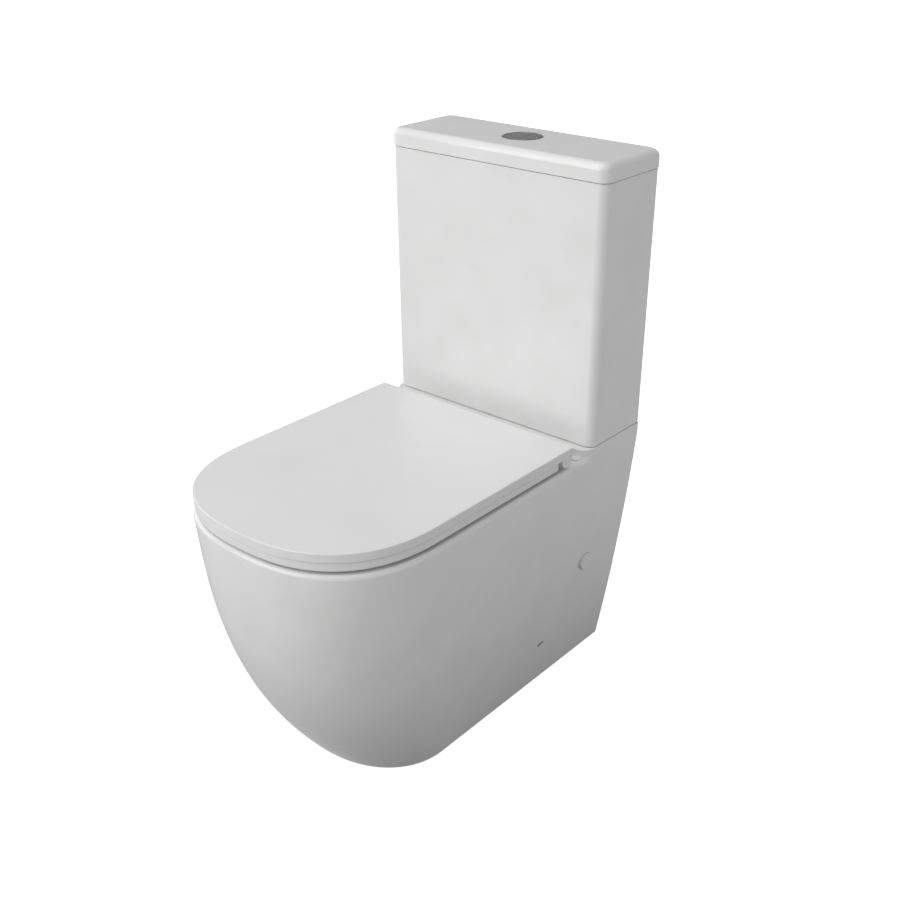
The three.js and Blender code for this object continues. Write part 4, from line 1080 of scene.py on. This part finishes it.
cup = [(13.8, 610), (16, 610), (16, 676), (27.5, 676), (27.5, 612), (30, 612), (30, 680), (13.8, 680)]
float_cup = turned(softened(cup, 0.8, 3), FILL, Z, 72)
join(float_cup, block((FILL_X + 26, FILL_Y - 6, 670), (ROD_X + 6, FILL_Y + 6, 679), 1.2, 3))
finish(cut(float_cup, rod(2.5, 660, 690, (ROD_X, FILL_Y), Z, 32)), "float_cup", "white_plastic")
turned_piece("float_rod", band(0, 2.2, 664, 746), (ROD_X, FILL_Y), "steel", 0.5, 32)

lever = block((PIVOT_X - 5, FILL_Y - 4.5, PIVOT_Z - 2.5), (PIVOT_X + 59, FILL_Y + 4.5, PIVOT_Z + 2.5), 1, 3)
cut(lever, block((PIVOT_X + 42, FILL_Y - 2.7, PIVOT_Z - 5), (PIVOT_X + 54, FILL_Y + 2.7, PIVOT_Z + 5), 1, 3))
join(lever, rod(2.5, FILL_Y - 11, FILL_Y + 11, (PIVOT_X, PIVOT_Z), Y, 32, 0.4))
finish(lever, "float_lever", "white_plastic")

# ------------------------------------------------------------------ camera, light and floor


def aimed(obj, place, target):
    """Puts a camera or lamp at a place, looking at a target, both in metres."""
    obj.location = place
    obj.rotation_euler = (Vector(target) - Vector(place)).to_track_quat("-Z", "Y").to_euler()
    bpy.context.scene.collection.objects.link(obj)
    return obj


def add_camera():
    pitch, azimuth, roll = math.radians(26.24), math.radians(40.41), math.radians(0.107)
    level = math.cos(pitch)
    forward = Vector((-math.sin(azimuth) * level, math.cos(azimuth) * level, -math.sin(pitch)))
    right = Vector((math.cos(azimuth), math.sin(azimuth), 0))
    down = forward.cross(right)
    across = right * math.cos(roll) + down * math.sin(roll)
    up = right * math.sin(roll) - down * math.cos(roll)
    lens = bpy.data.cameras.new("camera")
    lens.sensor_width, lens.lens = 36, 47.883
    lens.clip_end = 200
    camera = bpy.data.objects.new("camera", lens)
    bpy.context.scene.collection.objects.link(camera)
    axes = Matrix((across, up, -forward)).transposed().to_4x4()
    camera.matrix_world = Matrix.Translation((1.06405, WALL - 1.47433, 1.20112)) @ axes
    bpy.context.scene.camera = camera


def soft_box(name, place, target, size, power):
    lamp = bpy.data.lights.new(name, "AREA")
    lamp.shape, lamp.size, lamp.size_y, lamp.energy = "RECTANGLE", size[0], size[1], power
    return aimed(bpy.data.objects.new(name, lamp), place, target)


def add_backdrop():
    """A pale floor and a pale shell far round it, which only the camera sees."""
    reach = 30000
    corners = [(-reach, -reach), (reach, -reach), (reach, reach), (-reach, reach)]
    floor = new_object(at_height(corners, -0.5), [(0, 1, 2, 3)])
    floor.name = "floor"
    turns = [math.radians(d) for d in range(0, 90, 10)]
    dome = [(reach * math.cos(a), reach * math.sin(a) - 60) for a in turns]
    shell = turned([(0, -60)] + dome + [(0, reach)], (0, 0), Z, 48)
    shell.name = "backdrop"
    paint = Paint("pale_paint", Roughness=0.9, Specular_IOR_Level=0.0,
                  Emission_Color=(1, 1, 1, 1), Emission_Strength=0.96)
    paint.colour(paint.noise(2, 2), (0.70, 0.70, 0.70), (0.72, 0.72, 0.72))
    for surface in (floor, shell):
        surface.data.materials.append(paint.material)
        surface.visible_diffuse = surface.visible_glossy = False
        surface.visible_transmission = surface.visible_shadow = False


def add_floor_shade():
    """A dark patch round the foot, unseen by the camera, that holds back the light from below."""
    patch = turned(band(0, 520, -0.4, -0.3), (0, -300), Z, 64)
    patch.name = "floor_shade"
    paint = Paint("shade_paint", Roughness=0.9, Specular_IOR_Level=0.0)
    paint.colour(paint.noise(2, 2), (0.16, 0.16, 0.16), (0.18, 0.18, 0.18))
    patch.data.materials.append(paint.material)
    patch.visible_camera = patch.visible_glossy = False


def add_sky(below, above):
    """Even light from all round, one strength from below and one from above."""
    world = bpy.data.worlds.new("studio")
    bpy.context.scene.world = world
    world.use_nodes = True
    tree = world.node_tree
    place = tree.nodes.new("ShaderNodeTexCoord")
    split = tree.nodes.new("ShaderNodeSeparateXYZ")
    spread = tree.nodes.new("ShaderNodeMapRange")
    for socket, value in {"From Min": -0.3, "From Max": 0.3, "To Min": below, "To Max": above}.items():
        spread.inputs[socket].default_value = value
    tree.links.new(place.outputs["Generated"], split.inputs["Vector"])
    tree.links.new(split.outputs["Z"], spread.inputs["Value"])
    tree.links.new(spread.outputs["Result"], tree.nodes["Background"].inputs["Strength"])
    tree.nodes["Background"].inputs["Color"].default_value = (1, 1, 1, 1)


add_camera()
add_backdrop()
add_floor_shade()
add_sky(0.515, 0.366)
LOOK_AT = (0, 0, 0.45)
soft_box("key", (-1.2, -3.2, 2.0), LOOK_AT, (3.0, 3.0), 57.8)
soft_box("top", (-0.3, -0.8, 3.4), LOOK_AT, (3.0, 3.0), 30.5)
soft_box("left", (-3.2, -0.6, 1.5), LOOK_AT, (3.0, 3.0), 29.3)
soft_box("right", (3.2, -0.6, 1.4), LOOK_AT, (3.0, 3.0), 6.4)
bpy.context.scene.view_settings.view_transform = "Standard"
